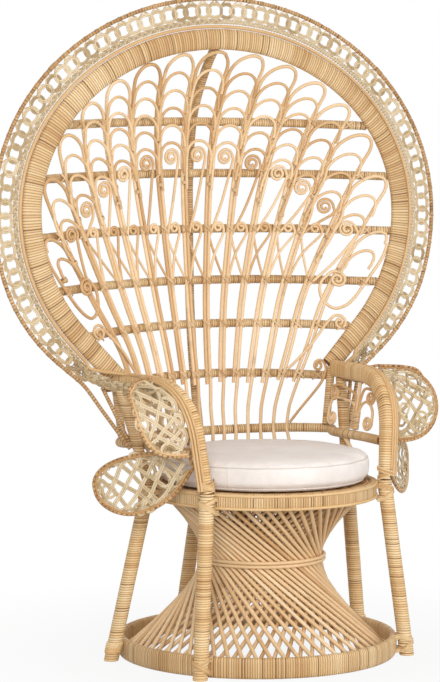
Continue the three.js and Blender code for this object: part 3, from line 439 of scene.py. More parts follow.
# A look is a slot of the part and a material
WRAPPED = "wrapped_rattan", rattan("bound_rattan", (196, 151, 97), (228, 191, 139), (246, 217, 170),
                                   (108, 70, 36), 0.5)
# Painted light: a brighter copy of the bound rattan, for the legs and arms, to offset the shade they render
# in
PAINTED_LIGHT_WRAPPED = "wrapped_rattan", rattan("painted_light_bound_rattan", (212, 166, 108), (242, 205, 150),
                                        (252, 228, 182), (128, 86, 46), 0.5)
CANE = "rattan_cane", rattan("round_cane", (205, 160, 108), (229, 192, 144), (244, 214, 172),
                             (130, 88, 48), 0.45, 0.42, 0.4)
RIM = "rattan_cane", rattan("rim_cane", (165, 118, 70), (204, 160, 108), (226, 188, 140),
                            (96, 62, 32), 0.5)
EDGE = "rattan_cane", rattan("edge_cane", (184, 138, 86), (214, 174, 122), (232, 198, 150),
                             (110, 72, 38), 0.45, 0.4, 0.4)
LACE = "lace_ribbon", rattan("pale_lace", (176, 150, 111), (216, 192, 152), (240, 220, 186),
                             (104, 76, 44), 0.6, 0.3, 0.25)
WEAVE = "woven_deck", rattan("deck_weave", (168, 122, 74), (204, 160, 108), (226, 188, 140),
                             (90, 58, 30), 0.65, 0.3, 0.25)
SAWN = "rattan_cane", WEAVE[1]
FABRIC = cloth("cream_cotton", (240, 233, 228), (226, 216, 209))
SEAM = "cushion_fabric", cloth("cream_seam", (222, 212, 204), (204, 192, 182))


def bound(name, node, line, section, **options):
    """A piece that is one bound pole."""
    out = Strands()
    out.wrapped(line, section, **options)
    out.make(name, WRAPPED, node)


# Lines of the chair

def ring_line(radius, z, y=0.0, count=240):
    a = circle(count)
    return columns(radius * np.cos(a), y + radius * np.sin(a), z)


def spoke(radius, degrees, z, y=0.0):
    """A point on a circle, at an angle from the front toward +X."""
    a = math.radians(degrees)
    return np.array([radius * math.sin(a), y - radius * math.cos(a), z])


def mirrored(points, side):
    return np.asarray(points, float) * np.array([side, 1.0, 1.0])


def hoop_y(z):
    return HOOP_Y + HOOP_SLOPE * (z - HOOP_Z)


HOOP_FACE = unit(np.array([0.0, -1.0, HOOP_SLOPE]))


def hoop_line(away, end_z, count=170):
    """Right half of the hoop from the top down, at a distance outside the band's middle."""
    a = np.linspace(math.pi / 2, HOOP_STRAIGHT, count)
    tall = np.where(a > 0, HOOP_RISE, HOOP_DROP)
    n = unit(columns(np.cos(a) / HOOP_HALF_WIDTH, np.sin(a) / tall))
    flat = columns(HOOP_HALF_WIDTH * np.cos(a), HOOP_Z + tall * np.sin(a)) + n * away
    heading = np.array([HOOP_HALF_WIDTH * math.sin(HOOP_STRAIGHT), -HOOP_DROP * math.cos(HOOP_STRAIGHT)])
    run = np.linspace(0, (end_z - flat[-1, 1]) / heading[1], 12)[1:, None]
    flat = joined(flat, flat[-1] + run * heading)
    return columns(flat[:, 0], hoop_y(flat[:, 1]), flat[:, 1])


HOOP_MIDDLE = hoop_line(0, HOOP_END_Z)


def dish_width(z):
    tall = np.where(z > HOOP_Z, HOOP_RISE, HOOP_DROP) - BAND_WIDTH / 2
    width = (HOOP_HALF_WIDTH - BAND_WIDTH / 2) * np.sqrt(1 - np.minimum(np.abs(z - HOOP_Z) / tall, 1) ** 2)
    return np.maximum(width, np.where(z > HOOP_Z, 1.0, STILE_X))


def bar_y(x, z):
    """Middle of the bars, which sag backward into a dish."""
    upright = np.where(z > DISH_Z, 1 - ((z - DISH_Z) / DISH_ABOVE) ** 4, 1 - ((DISH_Z - z) / DISH_BELOW) ** 2)
    across = np.clip(1 - (x / dish_width(z)) ** 2, 0, 1)
    depth = DISH_DEPTH * np.clip(upright, 0, 1) * across
    return hoop_y(z) + BAND_THICKNESS / 2 + FIT + BAR_BEHIND + depth


def dish_y(x, z, step=10):
    lean_x = (bar_y(x + step, z) - bar_y(x - step, z)) / (2 * step)
    lean_z = (bar_y(x, z + step) - bar_y(x, z - step)) / (2 * step)
    return bar_y(x, z) - (BAR_RADIUS + ROD_RADIUS) * np.sqrt(1 + lean_x ** 2 + lean_z ** 2) - LAP


def rod_y(x, z):
    """Front of the bars, where the fan's rods lie; under the rail they come forward to the seat ring."""
    share = np.clip((z - ROD_FOOT_Z) / (RAIL_Z - ROD_FOOT_Z), 0, 1)
    ring = np.sqrt(np.maximum(ROD_FOOT_RADIUS ** 2 - x ** 2, 0)) - SEAT_FORWARD
    return share * dish_y(x, np.maximum(z, RAIL_Z)) + (1 - share) * ring


def on_fan(x, z, forward):
    return columns(x, rod_y(x, z) - forward, z)


def rib_x(rib, z):
    """X of a rib at a height: the ribs fan out, and the outermost ones a little more."""
    pitch = (RIB_PITCH ** 4 + np.maximum(RIB_FAN * (z - RIB_FAN_Z), 0) ** 4) ** 0.25
    rise = (z - SPREAD_Z) / (BAR_HEIGHTS[2] - SPREAD_Z)
    spread = np.minimum((rise + np.sqrt(rise ** 2 + SPREAD_EASE)) / 2, 1)
    return rib * pitch * (1 + SPREAD * max(abs(rib) - SPREAD_RIB, 0) * spread)


def stem_x(column, side, z):
    return rib_x(column + side / 2, z) - side * STEM_GAP


def arch_xz(column, spring, count=22):
    radius = float(stem_x(column, 1, spring) - stem_x(column, -1, spring)) / 2
    a = np.linspace(math.pi, 0, count)
    z = spring + radius * np.sin(a)
    return columns(rib_x(column, z) + radius * np.cos(a), z)


def top_spring(column):
    """Height at which a column's last arch just touches the band."""
    hoop = HOOP_MIDDLE[:, [0, 2]]

    def clear(spring):
        points = np.abs(arch_xz(column, spring))
        gap = np.linalg.norm(points[:, None] - hoop[None], axis=2).min()
        tall = np.where(points[:, 1] > HOOP_Z, HOOP_RISE, HOOP_DROP)
        within = (points[:, 0] / HOOP_HALF_WIDTH) ** 2 + ((points[:, 1] - HOOP_Z) / tall) ** 2 < 1
        return within.all() and gap > BAND_WIDTH / 2 + ROD_RADIUS + LAP

    return highest(clear, 780.0, 1400.0, 24)


def spiral(x, z, outer, inner, turns, start, count=64):
    """Flat scroll; turns above zero run counter-clockwise as seen from the front."""
    t = np.linspace(0, 1, count)
    a = math.radians(start) + turns * 2 * math.pi * t
    radius = outer + (inner - outer) * t ** 0.9
    return columns(x + radius * np.cos(a), z + radius * np.sin(a))


FRONT_HEAD = spoke(HEAD_CIRCLE, LEG_DEGREES["front_right_leg"], SEAT_TOP, -SEAT_FORWARD)
ARM_REAR_Y = hoop_y(ARM_REAR_Z) - BAND_THICKNESS / 2 - LAP
ARM_TOP_Z = ARM_FRONT_Z + ARM_THICKNESS / 2


def arm_x(y, z):
    lean = np.clip((z - SEAT_TOP) / (ARM_TOP_Z - SEAT_TOP), 0, 1)
    splay = (y - FRONT_HEAD[1]) / (ARM_REAR_Y - FRONT_HEAD[1])
    return FRONT_HEAD[0] + ARM_LEAN_OUT * lean + ARM_REAR_SPLAY * splay


def arm_half(z):
    share = np.clip((z - SEAT_TOP) / (ARM_FRONT_Z - SEAT_TOP), 0, 1)
    return (ARM_FOOT_THICKNESS + (ARM_THICKNESS - ARM_FOOT_THICKNESS) * share) / 2


def arm_profile():
    """Side line of an arm: back to front, round the bend and down its post."""
    t = np.linspace(0, 1, 24)[:, None]
    a = np.array([ARM_FRONT_Y, ARM_FRONT_Z])
    b = np.array([ARM_BEND_Y - ARM_ROUND * (ARM_BEND_Y - ARM_FRONT_Y), ARM_FRONT_Z])
    c = np.array([ARM_BEND_Y, ARM_BEND_Z])
    bend = a * (1 - t) ** 2 + 2 * b * t * (1 - t) + c * t ** 2
    rear = np.array([[ARM_REAR_Y, ARM_REAR_Z]])
    foot = np.array([[FRONT_HEAD[1], SEAT_TOP + FIT]])
    return resample(joined(rear, bend, foot), 6.0)


ARM_PROFILE = arm_profile()
ARM_Y, ARM_Z = ARM_PROFILE.T
ARM_LINE = columns(arm_x(ARM_Y, ARM_Z), ARM_Y, ARM_Z)
ARM_NORMAL = unit(columns(np.gradient(ARM_Z), -np.gradient(ARM_Y)))
WING_SHARE = WING_LIFT * np.clip((ARM_Z - WING_MEET_Z) / (ARM_TOP_Z - WING_MEET_Z), 0, 1) * arm_half(ARM_Z)
WING_PROFILE = ARM_PROFILE + ARM_NORMAL * WING_SHARE[:, None]
PROP_FOOT = spoke(HEAD_CIRCLE, LEG_DEGREES["side_right_leg"], SEAT_TOP + FIT, -SEAT_FORWARD)
PROP_HEAD = np.array([float(arm_x(PROP_Y, ARM_REAR_Z)) + PROP_OUT, PROP_Y,
                      ARM_REAR_Z - ARM_THICKNESS / 2 - LAP])


def prop_at(z):
    return PROP_FOOT + (PROP_HEAD - PROP_FOOT) * (z - PROP_FOOT[2]) / (PROP_HEAD[2] - PROP_FOOT[2])


RAIL_TURN_X = prop_at(RAIL_Z)[0] - PROP_RADIUS - RAIL_RADIUS - LAP


def y_on(line, z):
    """Y of a side line of the arm at a height, along the bend and the post."""
    front = line[line[:, 0] < ARM_FRONT_Y][::-1]
    return float(np.interp(z, np.maximum.accumulate(front[:, 1]), front[:, 0]))


def front_axis(z):
    """Middle of the right front leg below the seat ring's top, and the line of the wing above it."""
    if z > SEAT_TOP:
        y = y_on(WING_PROFILE, z)
        return np.array([float(arm_x(y, z)), y, z])
    low = spoke(FOOT_CIRCLE, FOOT_DEGREES["front_right_leg"], BASE_HEIGHT)
    return low + (FRONT_HEAD - low) * (z - BASE_HEIGHT) / (SEAT_TOP - BASE_HEIGHT)


def crossed_lashing(out, middle, facing, up, radius, rise, tie=0.0, strands=3, width=3.6, spread=110):
    """Two bands of cane strip that cross on the side that faces out; a tie lets their ends run on inward."""
    facing, up = unit(facing), unit(up)
    facing = unit(facing - (facing @ up) * up)
    side = np.cross(up, facing)
    a = np.radians(np.linspace(-spread, spread, 13))
    radial = np.cos(a)[:, None] * facing + np.sin(a)[:, None] * side
    for layer, sign in enumerate((1, -1)):
        for k in range(strands):
            shift = (k - (strands - 1) / 2) * width * 1.1 + sign * rise * a / math.radians(spread)
            line = middle + radial * (radius + 0.7 + 1.1 * layer) + shift[:, None] * up
            hint = radial
            if tie:
                inward = np.linspace(0, -tie, 4)[1:, None] * facing
                line = joined(line[0] + inward[::-1], line, line[-1] + inward)
                hint = joined(np.tile(radial[0], (3, 1)), radial, np.tile(radial[-1], (3, 1)))
            out.ribbon(line, width, 1.5, hint=hint)


def collar(out, middle, up, hint, width, depth, height, pitch=2.8):
    """A short binding round a bundle."""
    line = middle + np.linspace(-height / 2, height / 2, 5)[:, None] * unit(up)
    out.wrapped(line, soft_box(width, depth, 10, 2.6), pitch, 0.4, hint=hint)


# Pedestal

def ring_section(height):
    return soft_box(RING_THICKNESS - 2 * RIDGE, height - 2.2 * RIDGE)


bound("base_ring_bound", "base_ring", ring_line(BASE_RADIUS - RING_THICKNESS / 2, BASE_HEIGHT / 2),
      ring_section(BASE_HEIGHT), hint=UP, loop=True)

out = Strands()
out.wrapped(ring_line(SEAT_RADIUS - RING_THICKNESS / 2, SEAT_TOP - SEAT_HEIGHT / 2, -SEAT_FORWARD),
            ring_section(SEAT_HEIGHT), hint=UP, loop=True)
for z in (SEAT_TOP - 4.6, SEAT_TOP - SEAT_HEIGHT + 4.6):
    out.rod(ring_line(SEAT_RADIUS - 0.6, z, -SEAT_FORWARD), 3.4, loop=True, tint=0.35)
out.make("seat_ring_bound", WRAPPED, "seat_ring")

for name, degrees in LEG_DEGREES.items():
    foot_degrees = FOOT_DEGREES.get(name, degrees)
    head = spoke(HEAD_CIRCLE, degrees, SEAT_TOP, -SEAT_FORWARD)
    low = spoke(FOOT_CIRCLE, foot_degrees, BASE_HEIGHT)
    foot = low + (low - head) * BASE_HEIGHT / (SEAT_TOP - BASE_HEIGHT)
    rise = unit(head - foot)
    out = Strands()
    out.wrapped(np.linspace(foot, head, 40), round_section(LEG_RADIUS - RIDGE, 20), level=True)
    for share, facing in ((0.075, foot_degrees), (0.935, degrees)):
        middle = foot + (head - foot) * share
        if name.startswith("side") and share < 0.5:
            for k in range(7):
                ring = ring_line(LEG_RADIUS + 0.9, 0, 0, 28) + middle + rise * (k - 3) * 3.7
                out.rod(ring, 2.0, 6, loop=True)
        else:
            crossed_lashing(out, middle, spoke(1, facing, 0), rise, LEG_RADIUS, 15, LEG_RADIUS)
    out.make(name + "_bound", PAINTED_LIGHT_WRAPPED, name)


def waist_of(top, foot, twist):
    """Radius of the narrowest place, and its share of the way up."""
    t = np.linspace(0, 1, 400)
    low = np.array([foot, 0.0])
    high = np.array([top * math.cos(twist), top * math.sin(twist)])
    radius = np.linalg.norm(low + (high - low) * t[:, None], axis=1)
    return radius.min(), t[radius.argmin()]


def pedestal_shift(z):
    return -SEAT_FORWARD * (z - CANE_FOOT_Z) / (CANE_TOP_Z - CANE_FOOT_Z)


for name, top, low_end, waist, way in CANE_LAYERS:
    twist = highest(lambda turn: waist_of(top, low_end, turn)[0] > waist, 0.5, 3.0, 40)
    if way > 0:
        WAIST_Z = CANE_FOOT_Z + (CANE_TOP_Z - CANE_FOOT_Z) * waist_of(top, low_end, twist)[1]
    out = Strands()
    for i in range(CANE_COUNT):
        degrees = 360 * i / CANE_COUNT
        head = spoke(top, degrees, CANE_TOP_Z, -SEAT_FORWARD)
        foot = spoke(low_end, degrees + way * math.degrees(twist), CANE_FOOT_Z)
        thick = CANE_RADIUS * (0.94 + 0.12 * rng.random())
        sway = np.array([rng.uniform(-1, 1), rng.uniform(-1, 1), 0]) * 1.2
        t = np.linspace(0, 1, 26)[:, None]
        out.rod(foot + (head - foot) * t + sway * np.sin(math.pi * t) ** 2, thick, 10)
    out.sweep(ring_line(top, CANE_TOP_Z, -SEAT_FORWARD), soft_box(9, 9, 8), hint=UP, loop=True)
    out.sweep(ring_line(low_end, 14.5), soft_box(7, 9, 8), hint=UP, loop=True)
    out.make(name + "_round", CANE, name)

for name, lift in (("lower_waist_hoop", -4.3), ("upper_waist_hoop", 4.3)):
    out = Strands()
    out.rod(ring_line(WAIST_RADIUS + CANE_RADIUS + 4.2, WAIST_Z + lift, pedestal_shift(WAIST_Z + lift)),
            4.1, 10, loop=True, tint=0.6)
    out.make(name + "_round", CANE, name)

# Deck and slats under the cushion

out = Strands()
for family in (0, 1):
    for i in range(-18, 19):
        across = i * DECK_STRIP
        if abs(across) > DECK_RADIUS - 6:
            continue
        half = math.sqrt(DECK_RADIUS ** 2 - across ** 2)
        run = np.linspace(-half, half, max(8, int(half / 3)))
        lift = 1.7 * np.cos(math.pi * (run / DECK_STRIP + i + family))
        flat = np.full_like(run, across)
        x, y = (run, flat) if family else (flat, run)
        line = columns(x, y - SEAT_FORWARD, DECK_Z + lift)
        out.sweep(line, soft_box(DECK_STRIP - 1.6, 1.8, 6), hint=UP)
out.sweep(ring_line(DECK_RADIUS - 3, DECK_Z, -SEAT_FORWARD), soft_box(6, 8, 8), hint=UP, loop=True)
out.make("seat_deck_woven", WEAVE, "seat_deck")

out = Strands()
slat_low, slat_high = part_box("seat_slats")
reach = (slat_high.x - slat_low.x) / 2 / MM
level = (slat_low.z + slat_high.z) / 2 / MM
for direction in ((1, 0, 0), (0, 1, 0)):
    line = np.linspace(-reach, reach, 60)[:, None] * np.array(direction, float) + (0, -SEAT_FORWARD, level)
    out.sweep(line, soft_box(30, 9, 12, 6), hint=UP, tint=0.3 + 0.3 * direction[0])
out.make("seat_slats_sawn", SAWN, "seat_slats")

# Hoop of the back with its edge rods, lace and rim

BAND = soft_box(BAND_WIDTH - 2 * RIDGE, BAND_THICKNESS - 2 * RIDGE, 22, 2.5)


def arm_edge(share, away):
    """A line along the outer face of an arm, at a share of the half height over the middle of that face."""
    lift = ARM_NORMAL * (share * arm_half(ARM_Z))[:, None]
    return ARM_LINE + columns(ARM_WIDTH / 2 + away, lift[:, 0], lift[:, 1])


LACE_MIDDLE = (LACE_IN + LACE_OUT) / 2
LACE_LINE = hoop_line(LACE_MIDDLE, LACE_END_Z, 400)
LACE_RUN = lengths(LACE_LINE)
LACE_NORMAL = np.cross(HOOP_FACE, unit(np.gradient(LACE_LINE, axis=0)))
TOTAL = LACE_RUN[-1]
LINK_PITCH = TOTAL / LACE_LINKS


def on_lace(run, away, forward=0.0):
    """Points by run along the lace and distance outside the band's middle; the lace tapers to its end."""
    near_end = np.clip((run - TOTAL + LACE_TAPER_RUN) / LACE_TAPER_RUN, 0, 1)
    away = LACE_IN + (away - LACE_IN) * (1 - LACE_TAPER * near_end ** 1.5)
    out_way = unit(between(run, LACE_RUN, LACE_NORMAL))
    lift = np.broadcast_to(forward, run.shape)[:, None]
    return along_line(LACE_LINE, run) + out_way * (away - LACE_MIDDLE)[:, None] + lift * HOOP_FACE


def braid(out, place, run, wide, pitch, side, hint, strip=4.4):
    """Three flat strands plaited along a line."""
    for phase in range(3):
        turn = 2 * math.pi * (run / pitch + phase / 3)
        line = place(run, wide * np.sin(turn), 1.9 * np.sin(2 * turn))
        out.ribbon(mirrored(line, side), strip, 1.7, hint=hint)


def arm_strip():
    """Middle of the lace on an arm's outer face and the way across it, from the hoop's lace forward."""
    near = TOTAL - np.array([48.0, 24.0, 4.0])
    edge = on_lace(near, LACE_IN + 22)
    some = slice(5, 34, 4)
    arm = arm_edge(-0.72, 2.8)[some]
    up = columns(0.0, ARM_NORMAL[some, 0], ARM_NORMAL[some, 1])
    band = on_lace(near, LACE_IN)
    return smooth(joined(np.hstack([edge, unit(band - edge)]), np.hstack([arm, up])), 3.0)


def edge_rods(out, side):
    """The rod along the band runs on over the arm; two more lie beside it there."""
    for share, away, tint in ((0.86, -0.6, 0.45), (0.78, 6.2, 0.6), (0.66, 12.8, 0.4)):
        line = arm_edge(share, away)[::4]
        if away < 0:
            hoop = hoop_line(EDGE_ROD_AWAY, EDGE_ROD_END_Z)[::6]
            line = joined(hoop, hoop[-1:] + [[-12, -8, -16]], line[line[:, 1] < ARM_RODS_Y])
        else:
            line = line[line[:, 1] < 24 - away]
        line = smooth(line, 7)
        size = np.where(line[:, 1] < ARM_RODS_Y, 0.48 + 0.6 * arm_half(line[:, 2]) / ARM_THICKNESS, 1.0)
        out.rod(mirrored(line, side), 4.1, 10, tint=tint, scale=size)


def border_lace(out, side):
    """Interlaced loops with thin ties to the rim, and braids along the band and the arm."""
    face = mirrored(HOOP_FACE, side)
    a = circle(32)
    for i in range(LACE_LINKS):
        start = LINK_PITCH * (i + 0.5)
        along = np.clip(start + 0.63 * LINK_PITCH * np.cos(a), 0, TOTAL)
        over = 1.7 * np.cos(a) * (1 if i % 2 else -1)
        line = on_lace(along, LINK_AWAY + LINK_HALF_WIDTH * np.sin(a), over)
        out.ribbon(mirrored(line, side), 8.6, 2.2, hint=face, loop=True)
        for way in (-1, 1):
            ends = np.clip(start + way * LINK_PITCH * np.array([0, 0.3, 0.5]), 0, TOTAL)
            line = on_lace(ends, np.array([LACE_OUT + 2, LACE_OUT - 4, LINK_AWAY + 11]), 1.2 * way)
            out.rod(mirrored(resample(line, 4), side), 1.6, 5)

    def on_band(run, wide, lift):
        return on_lace(run, LACE_IN + 6.4 + wide, lift)

    braid(out, on_band, np.arange(0, TOTAL, 3.0), 4.4, 25, side, face)
    strip = arm_strip()
    run, full = lengths(strip[:, :3]), lengths(strip)[-1]
    outward = np.array([1.0, -0.2, 0.0])
    for offset in (-5.4, 5.4):
        def on_arm(along, wide, lift):
            across = unit(along_line(strip, full * along / run[-1])[:, 3:])
            return (along_line(strip[:, :3], along) + lift[:, None] * outward
                    + across * (wide + offset)[:, None])

        braid(out, on_arm, np.arange(0, run[-1], 3.0), 5.0, 46, side, mirrored(outward, side), 7.4)


def rim_rod(out, side):
    """The rim comes down as a strut to the arm's prop, with a second strut beside it."""
    rim = on_lace(np.linspace(0, TOTAL, 90), RIM_AWAY)
    axis = prop_at(STRUT_END_Z)
    away = rim[-1] - axis
    away[2] = 0
    landing = axis + unit(away) * (PROP_RADIUS + RIM_ROD_RADIUS + LAP)
    strut = np.linspace(rim[-1], landing, 6)[1:]
    line = smooth(joined(rim[:-2:2], rim[-1:] * 0.8 + strut[:1] * 0.2, strut[1:]), 7)
    out.wrapped(mirrored(line, side), round_section(RIM_ROD_RADIUS - 0.6, 10), 7.5, 0.45)
    second_top = rim[-1] * 0.45 + PROP_HEAD * 0.55 + (4, 0, 0)
    second = np.linspace(second_top, prop_at(RAIL_Z) + unit(away) * 15, 12)
    out.wrapped(mirrored(second, side), round_section(4.4, 10), 6.0, 0.45)
    for i in range(LACE_LINKS):
        tie = np.linspace(-2.4, 2.4, 3) + np.clip(LINK_PITCH * (i + 0.5), 4, TOTAL - 4)
        line = on_lace(tie, RIM_AWAY)
        out.wrapped(mirrored(line, side), round_section(RIM_ROD_RADIUS + 0.1, 8), 2.4, 0.4)
    splice = on_lace(np.linspace(0.36 * TOTAL, 0.36 * TOTAL + 20, 4), RIM_AWAY)
    out.wrapped(mirrored(splice, side), round_section(RIM_ROD_RADIUS + 0.4, 10), 2.2, 0.4)


for name, side in SIDES:
    bound("hoop_band_bound_" + name, "hoop_band_" + name, mirrored(HOOP_MIDDLE, side), BAND,
          pitch=6.0, ridge=0.7, hint=HOOP_FACE)
    for draw, piece_name, look, node in ((edge_rods, "hoop_edge_rod_round_", EDGE, "hoop_edge_rod_"),
                                         (border_lace, "lace_border_links_", LACE, "lace_border_"),
                                         (rim_rod, "rim_rod_round_", RIM, "rim_rod_")):
        out = Strands()
        draw(out, side)
        out.make(piece_name + name, look, node + name)

# Bars, rail and spine behind the fan

for number, height in enumerate(BAR_HEIGHTS, 1):
    reach = max(float(dish_width(height - BAR_BOW)), STILE_X) + BAND_WIDTH / 4
    x = np.linspace(-reach, reach, 90)
    z = height - BAR_BOW * (x / reach) ** 2
    bound(f"cross_bar_{number}_bound", f"cross_bar_{number}", columns(x, bar_y(x, z), z),
          round_section(BAR_RADIUS - 0.3, 14))

rear_y = hoop_y(RAIL_Z)
front_y = y_on(ARM_PROFILE, RAIL_Z + RAIL_RADIUS) + float(arm_half(RAIL_Z + RAIL_RADIUS)) + LAP
front_x = float(arm_x(y_on(ARM_PROFILE, RAIL_Z), RAIL_Z))
FLARE_X = RAIL_TURN_X + RAIL_FLARE
half = [(front_x, front_y), (RAIL_TURN_X, front_y / 3), (RAIL_TURN_X, rear_y / 2),
        (FLARE_X, rear_y - RAIL_BEND / 2), (FLARE_X - RAIL_BEND, rear_y + RAIL_BEND)]
behind_x = np.linspace(RAIL_REAR_X, -RAIL_REAR_X, 15)
flat = half + list(zip(behind_x, bar_y(behind_x, RAIL_Z) + 1)) + [(-x, y) for x, y in half[::-1]]
bound("seat_back_rail_bound", "seat_back_rail", smooth([(x, y, RAIL_Z) for x, y in flat], 6),
      round_section(RAIL_RADIUS - RIDGE, 14), hint=UP)

z = np.linspace(RAIL_Z, SPINE_TOP_Z, 60)
behind_bars = bar_y(0, z) + BAR_RADIUS + SPINE_RADIUS + LAP
share = np.clip((z - SPINE_EASE_Z) / (SPINE_TOP_Z - SPINE_EASE_Z), 0, 1)
y = np.maximum(behind_bars - 20 * share, hoop_y(z) + BAND_THICKNESS / 2 + SPINE_RADIUS + LAP)
y = np.where(z <= SPINE_EASE_Z, behind_bars + 2 * (z < RAIL_Z + 1), y)
leg_y = HEAD_CIRCLE - SEAT_FORWARD
spine = joined([(0, leg_y, SEAT_TOP + FIT), (0, leg_y, SPINE_KNEE_Z)], columns(0.0, y, z))
bound("back_spine_bound", "back_spine", resample(spine, 6), round_section(SPINE_RADIUS - RIDGE, 14))

# Fan of the back: hairpins, fish-scale arches and two rows of scrolls

EASE_LOW, EASE_HIGH = 540, 780
MERGE_Z, MERGE_RUN = 605, 60
TURN_Z = 872
# The outermost column's free leg turns up into a scroll: X and Z on the right
TURN = joined([(409, 838), (377, 799), (352, 779), (329, 774), (309, 791), (304, 817), (310, 839)],
              spiral(343, BAR_HEIGHTS[3] - 3, 21, 4.6, -1.85, 150))


def bar_lashings(out, rib):
    """Crossed ties where a rib lies on each bar."""
    for height in BAR_HEIGHTS:
        x = float(rib_x(rib, height))
        bar = max(float(dish_width(height - BAR_BOW)), STILE_X)
        if abs(x) > bar - 14:
            continue
        t = np.linspace(-1, 1, 7)
        z = height - BAR_BOW * (x / bar) ** 2
        for layer, sign in enumerate((1, -1)):
            line = on_fan(x + 9.5 * t, z + 10 * sign * t, 6.6 + 1.5 * layer - 5 * t ** 2)
            out.ribbon(line, 4.4, 1.6, hint=FRONT)


def eased(line):
    """Evens out the depth of a rod where it leaves the dish of the fan."""
    inner = np.nonzero((line[:, 2] > EASE_LOW) & (line[:, 2] < EASE_HIGH))[0]
    inner = inner[(inner > 0) & (inner < len(line) - 1)]
    for _ in range(60):
        line[inner, 1] = (line[inner - 1, 1] + 2 * line[inner, 1] + line[inner + 1, 1]) / 4
    return line


def curl(out, points, scroll, forward=0.6, radius=3.5):
    """A stem that ends in a scroll."""
    line = smooth(joined(points, scroll), 4)
    out.rod(eased(on_fan(line[:, 0], line[:, 1], forward)), radius, 8)


def hairpin(out, column, spring):
    """Up one rib, over the arch and down the next one."""
    last = abs(column) == FAN_REACH
    side = -1 if column == -FAN_REACH else 1
    z = np.linspace(SEAT_TOP + 1, spring, 90)
    merge = np.clip((MERGE_Z - z) / MERGE_RUN, 0, 1)
    tied = columns(stem_x(column, -side, z) * (1 - merge) + rib_x(column - side / 2, z) * merge, z)
    down = np.linspace(spring, BAR_HEIGHTS[-1] - 26 + 12 * rng.random(), 80)
    free = columns(stem_x(column, side, down), down)
    if last:
        free[:, 0] += 21 * side * np.exp(-((down - TURN_Z) / 50) ** 2)
        free = smooth(joined(free[down > TURN_Z][::8], TURN * (side, 1)), 5)
    points = joined(tied, arch_xz(column, spring)[::side][1:-1], free)
    forward = np.zeros(len(points))
    if last:
        forward[-len(free):] = 8.6 * np.clip(np.linspace(-2.2, 1.6, len(free)), 0, 1)
    out.rod(eased(on_fan(points[:, 0], points[:, 1], forward)), 3.8 if last else ROD_RADIUS, 10)


def inner_arch(out, column, low, drop, away):
    """An arch inside the hairpin's, with a long lead on its left and a collar on the lead."""
    lead = np.linspace(low - drop, low, 9)
    slide = np.linspace(0, 1, 9) ** 2
    lead_x = (rib_x(column - 0.5, lead) + away) * (1 - slide) + stem_x(column, -1, low) * slide
    points = arch_xz(column, low, 18)[1:]
    tail = np.linspace(low, low - 16, 4)[1:]
    x = joined(lead_x, points[:, 0], stem_x(column, 1, tail) + 1.5)
    z = joined(lead, points[:, 1], tail)
    forward = np.full(len(z), ARCH_FORWARD)
    forward[len(lead):-len(tail)] -= 3.4 * np.sin(np.linspace(0, math.pi, len(points)))
    out.rod(on_fan(x, z, forward), 3.6, 8)
    heights = low - drop * np.array([0.82, 0.7])
    knot, above = on_fan(rib_x(column - 0.5, heights), heights, 2.6)
    collar(out, knot, above - knot, FRONT, 15.5, 14.5, 8)


def fan_column(out, column):
    spring = top_spring(column)
    last, whole = abs(column) == FAN_REACH, abs(column) < FAN_REACH - 1
    hairpin(out, column, spring)
    big_z = BAR_HEIGHTS[3] - 6 if last else BIG_SCROLL_Z - 5 * column ** 2
    count = max(1, round((spring - big_z - 2) / ARCH_PITCH))
    for step in range(1, 2 if last else count + 1):
        low = spring - step * (spring - big_z - 2) / count
        inner_arch(out, column, low, 24 if last else 80, 3.4 if step % 2 else -3.4)

    def at(rib, z, aside=0):
        return float(rib_x(rib, z)) + aside, z

    if not last:
        x = at(column, big_z)[0]
        room = float(stem_x(column, 1, big_z) - stem_x(column, -1, big_z)) / 2 - ROD_RADIUS
        big = min(BIG_SCROLL, room - 3.8)
        foot_x, foot = at(column - 0.5, BAR_HEIGHTS[2 if whole else 3] - 14.0, 7)
        stem = [(foot_x, foot), (foot_x + 0.55 * (x + big - foot_x), foot + 0.42 * (big_z - foot)),
                (x + big - 0.5, big_z - 17)]
        curl(out, stem, spiral(x, big_z, big, 4.6, 1.95, 0))
    if whole:
        x, small_z = at(column, BAR_HEIGHTS[2] + 5 - 1.5 * abs(column), -2)
        foot = BAR_HEIGHTS[3] + 4.0
        stem = [at(column - 0.5, foot, 6), at(column - 0.16, 905.0), (x + 12.6, small_z - 16)]
        curl(out, stem, spiral(x, small_z, SMALL_SCROLL, 4.0, 1.4, 0, 44), 2.2, 3.3)
        brace = [at(column - 0.5, 952, 5), at(column - 0.06, 900.0)]
        curl(out, brace, [at(column + 0.5, foot, -5)], -1.4, 3.0)
    bar_lashings(out, column + 0.5)


for column in range(2 - FAN_REACH, FAN_REACH - 1):
    number = column + FAN_REACH - 1
    out = Strands()
    fan_column(out, column)
    out.make(f"fan_column_{number}_round", CANE, f"fan_column_{number}")

fifth, sixth = BAR_HEIGHTS[4] - 1, BAR_HEIGHTS[5] + 16
BAR_END_SCROLLS = (
    ([(205, 632), (228, 657), (263, 699), (292, 731)], spiral(328, fifth, 19, 4.2, -1.75, 150)),
    ([(202, 504), (267, sixth - 50), (283, sixth - 14)], spiral(268, sixth, 15, 4.2, 1.6, 0)))
for name, side in SIDES:
    out = Strands()
    for column in (FAN_REACH - 1, FAN_REACH):
        fan_column(out, side * column)
    if side < 0:
        bar_lashings(out, -FAN_REACH - 0.5)
    for stem, scroll in BAR_END_SCROLLS:
        curl(out, np.array(stem) * (side, 1), scroll * (side, 1), 7.5, 3.4)
    out.make("side_petals_round_" + name, CANE, "side_petals_" + name)

# Arms, props, stiles and the scrolls under the arms

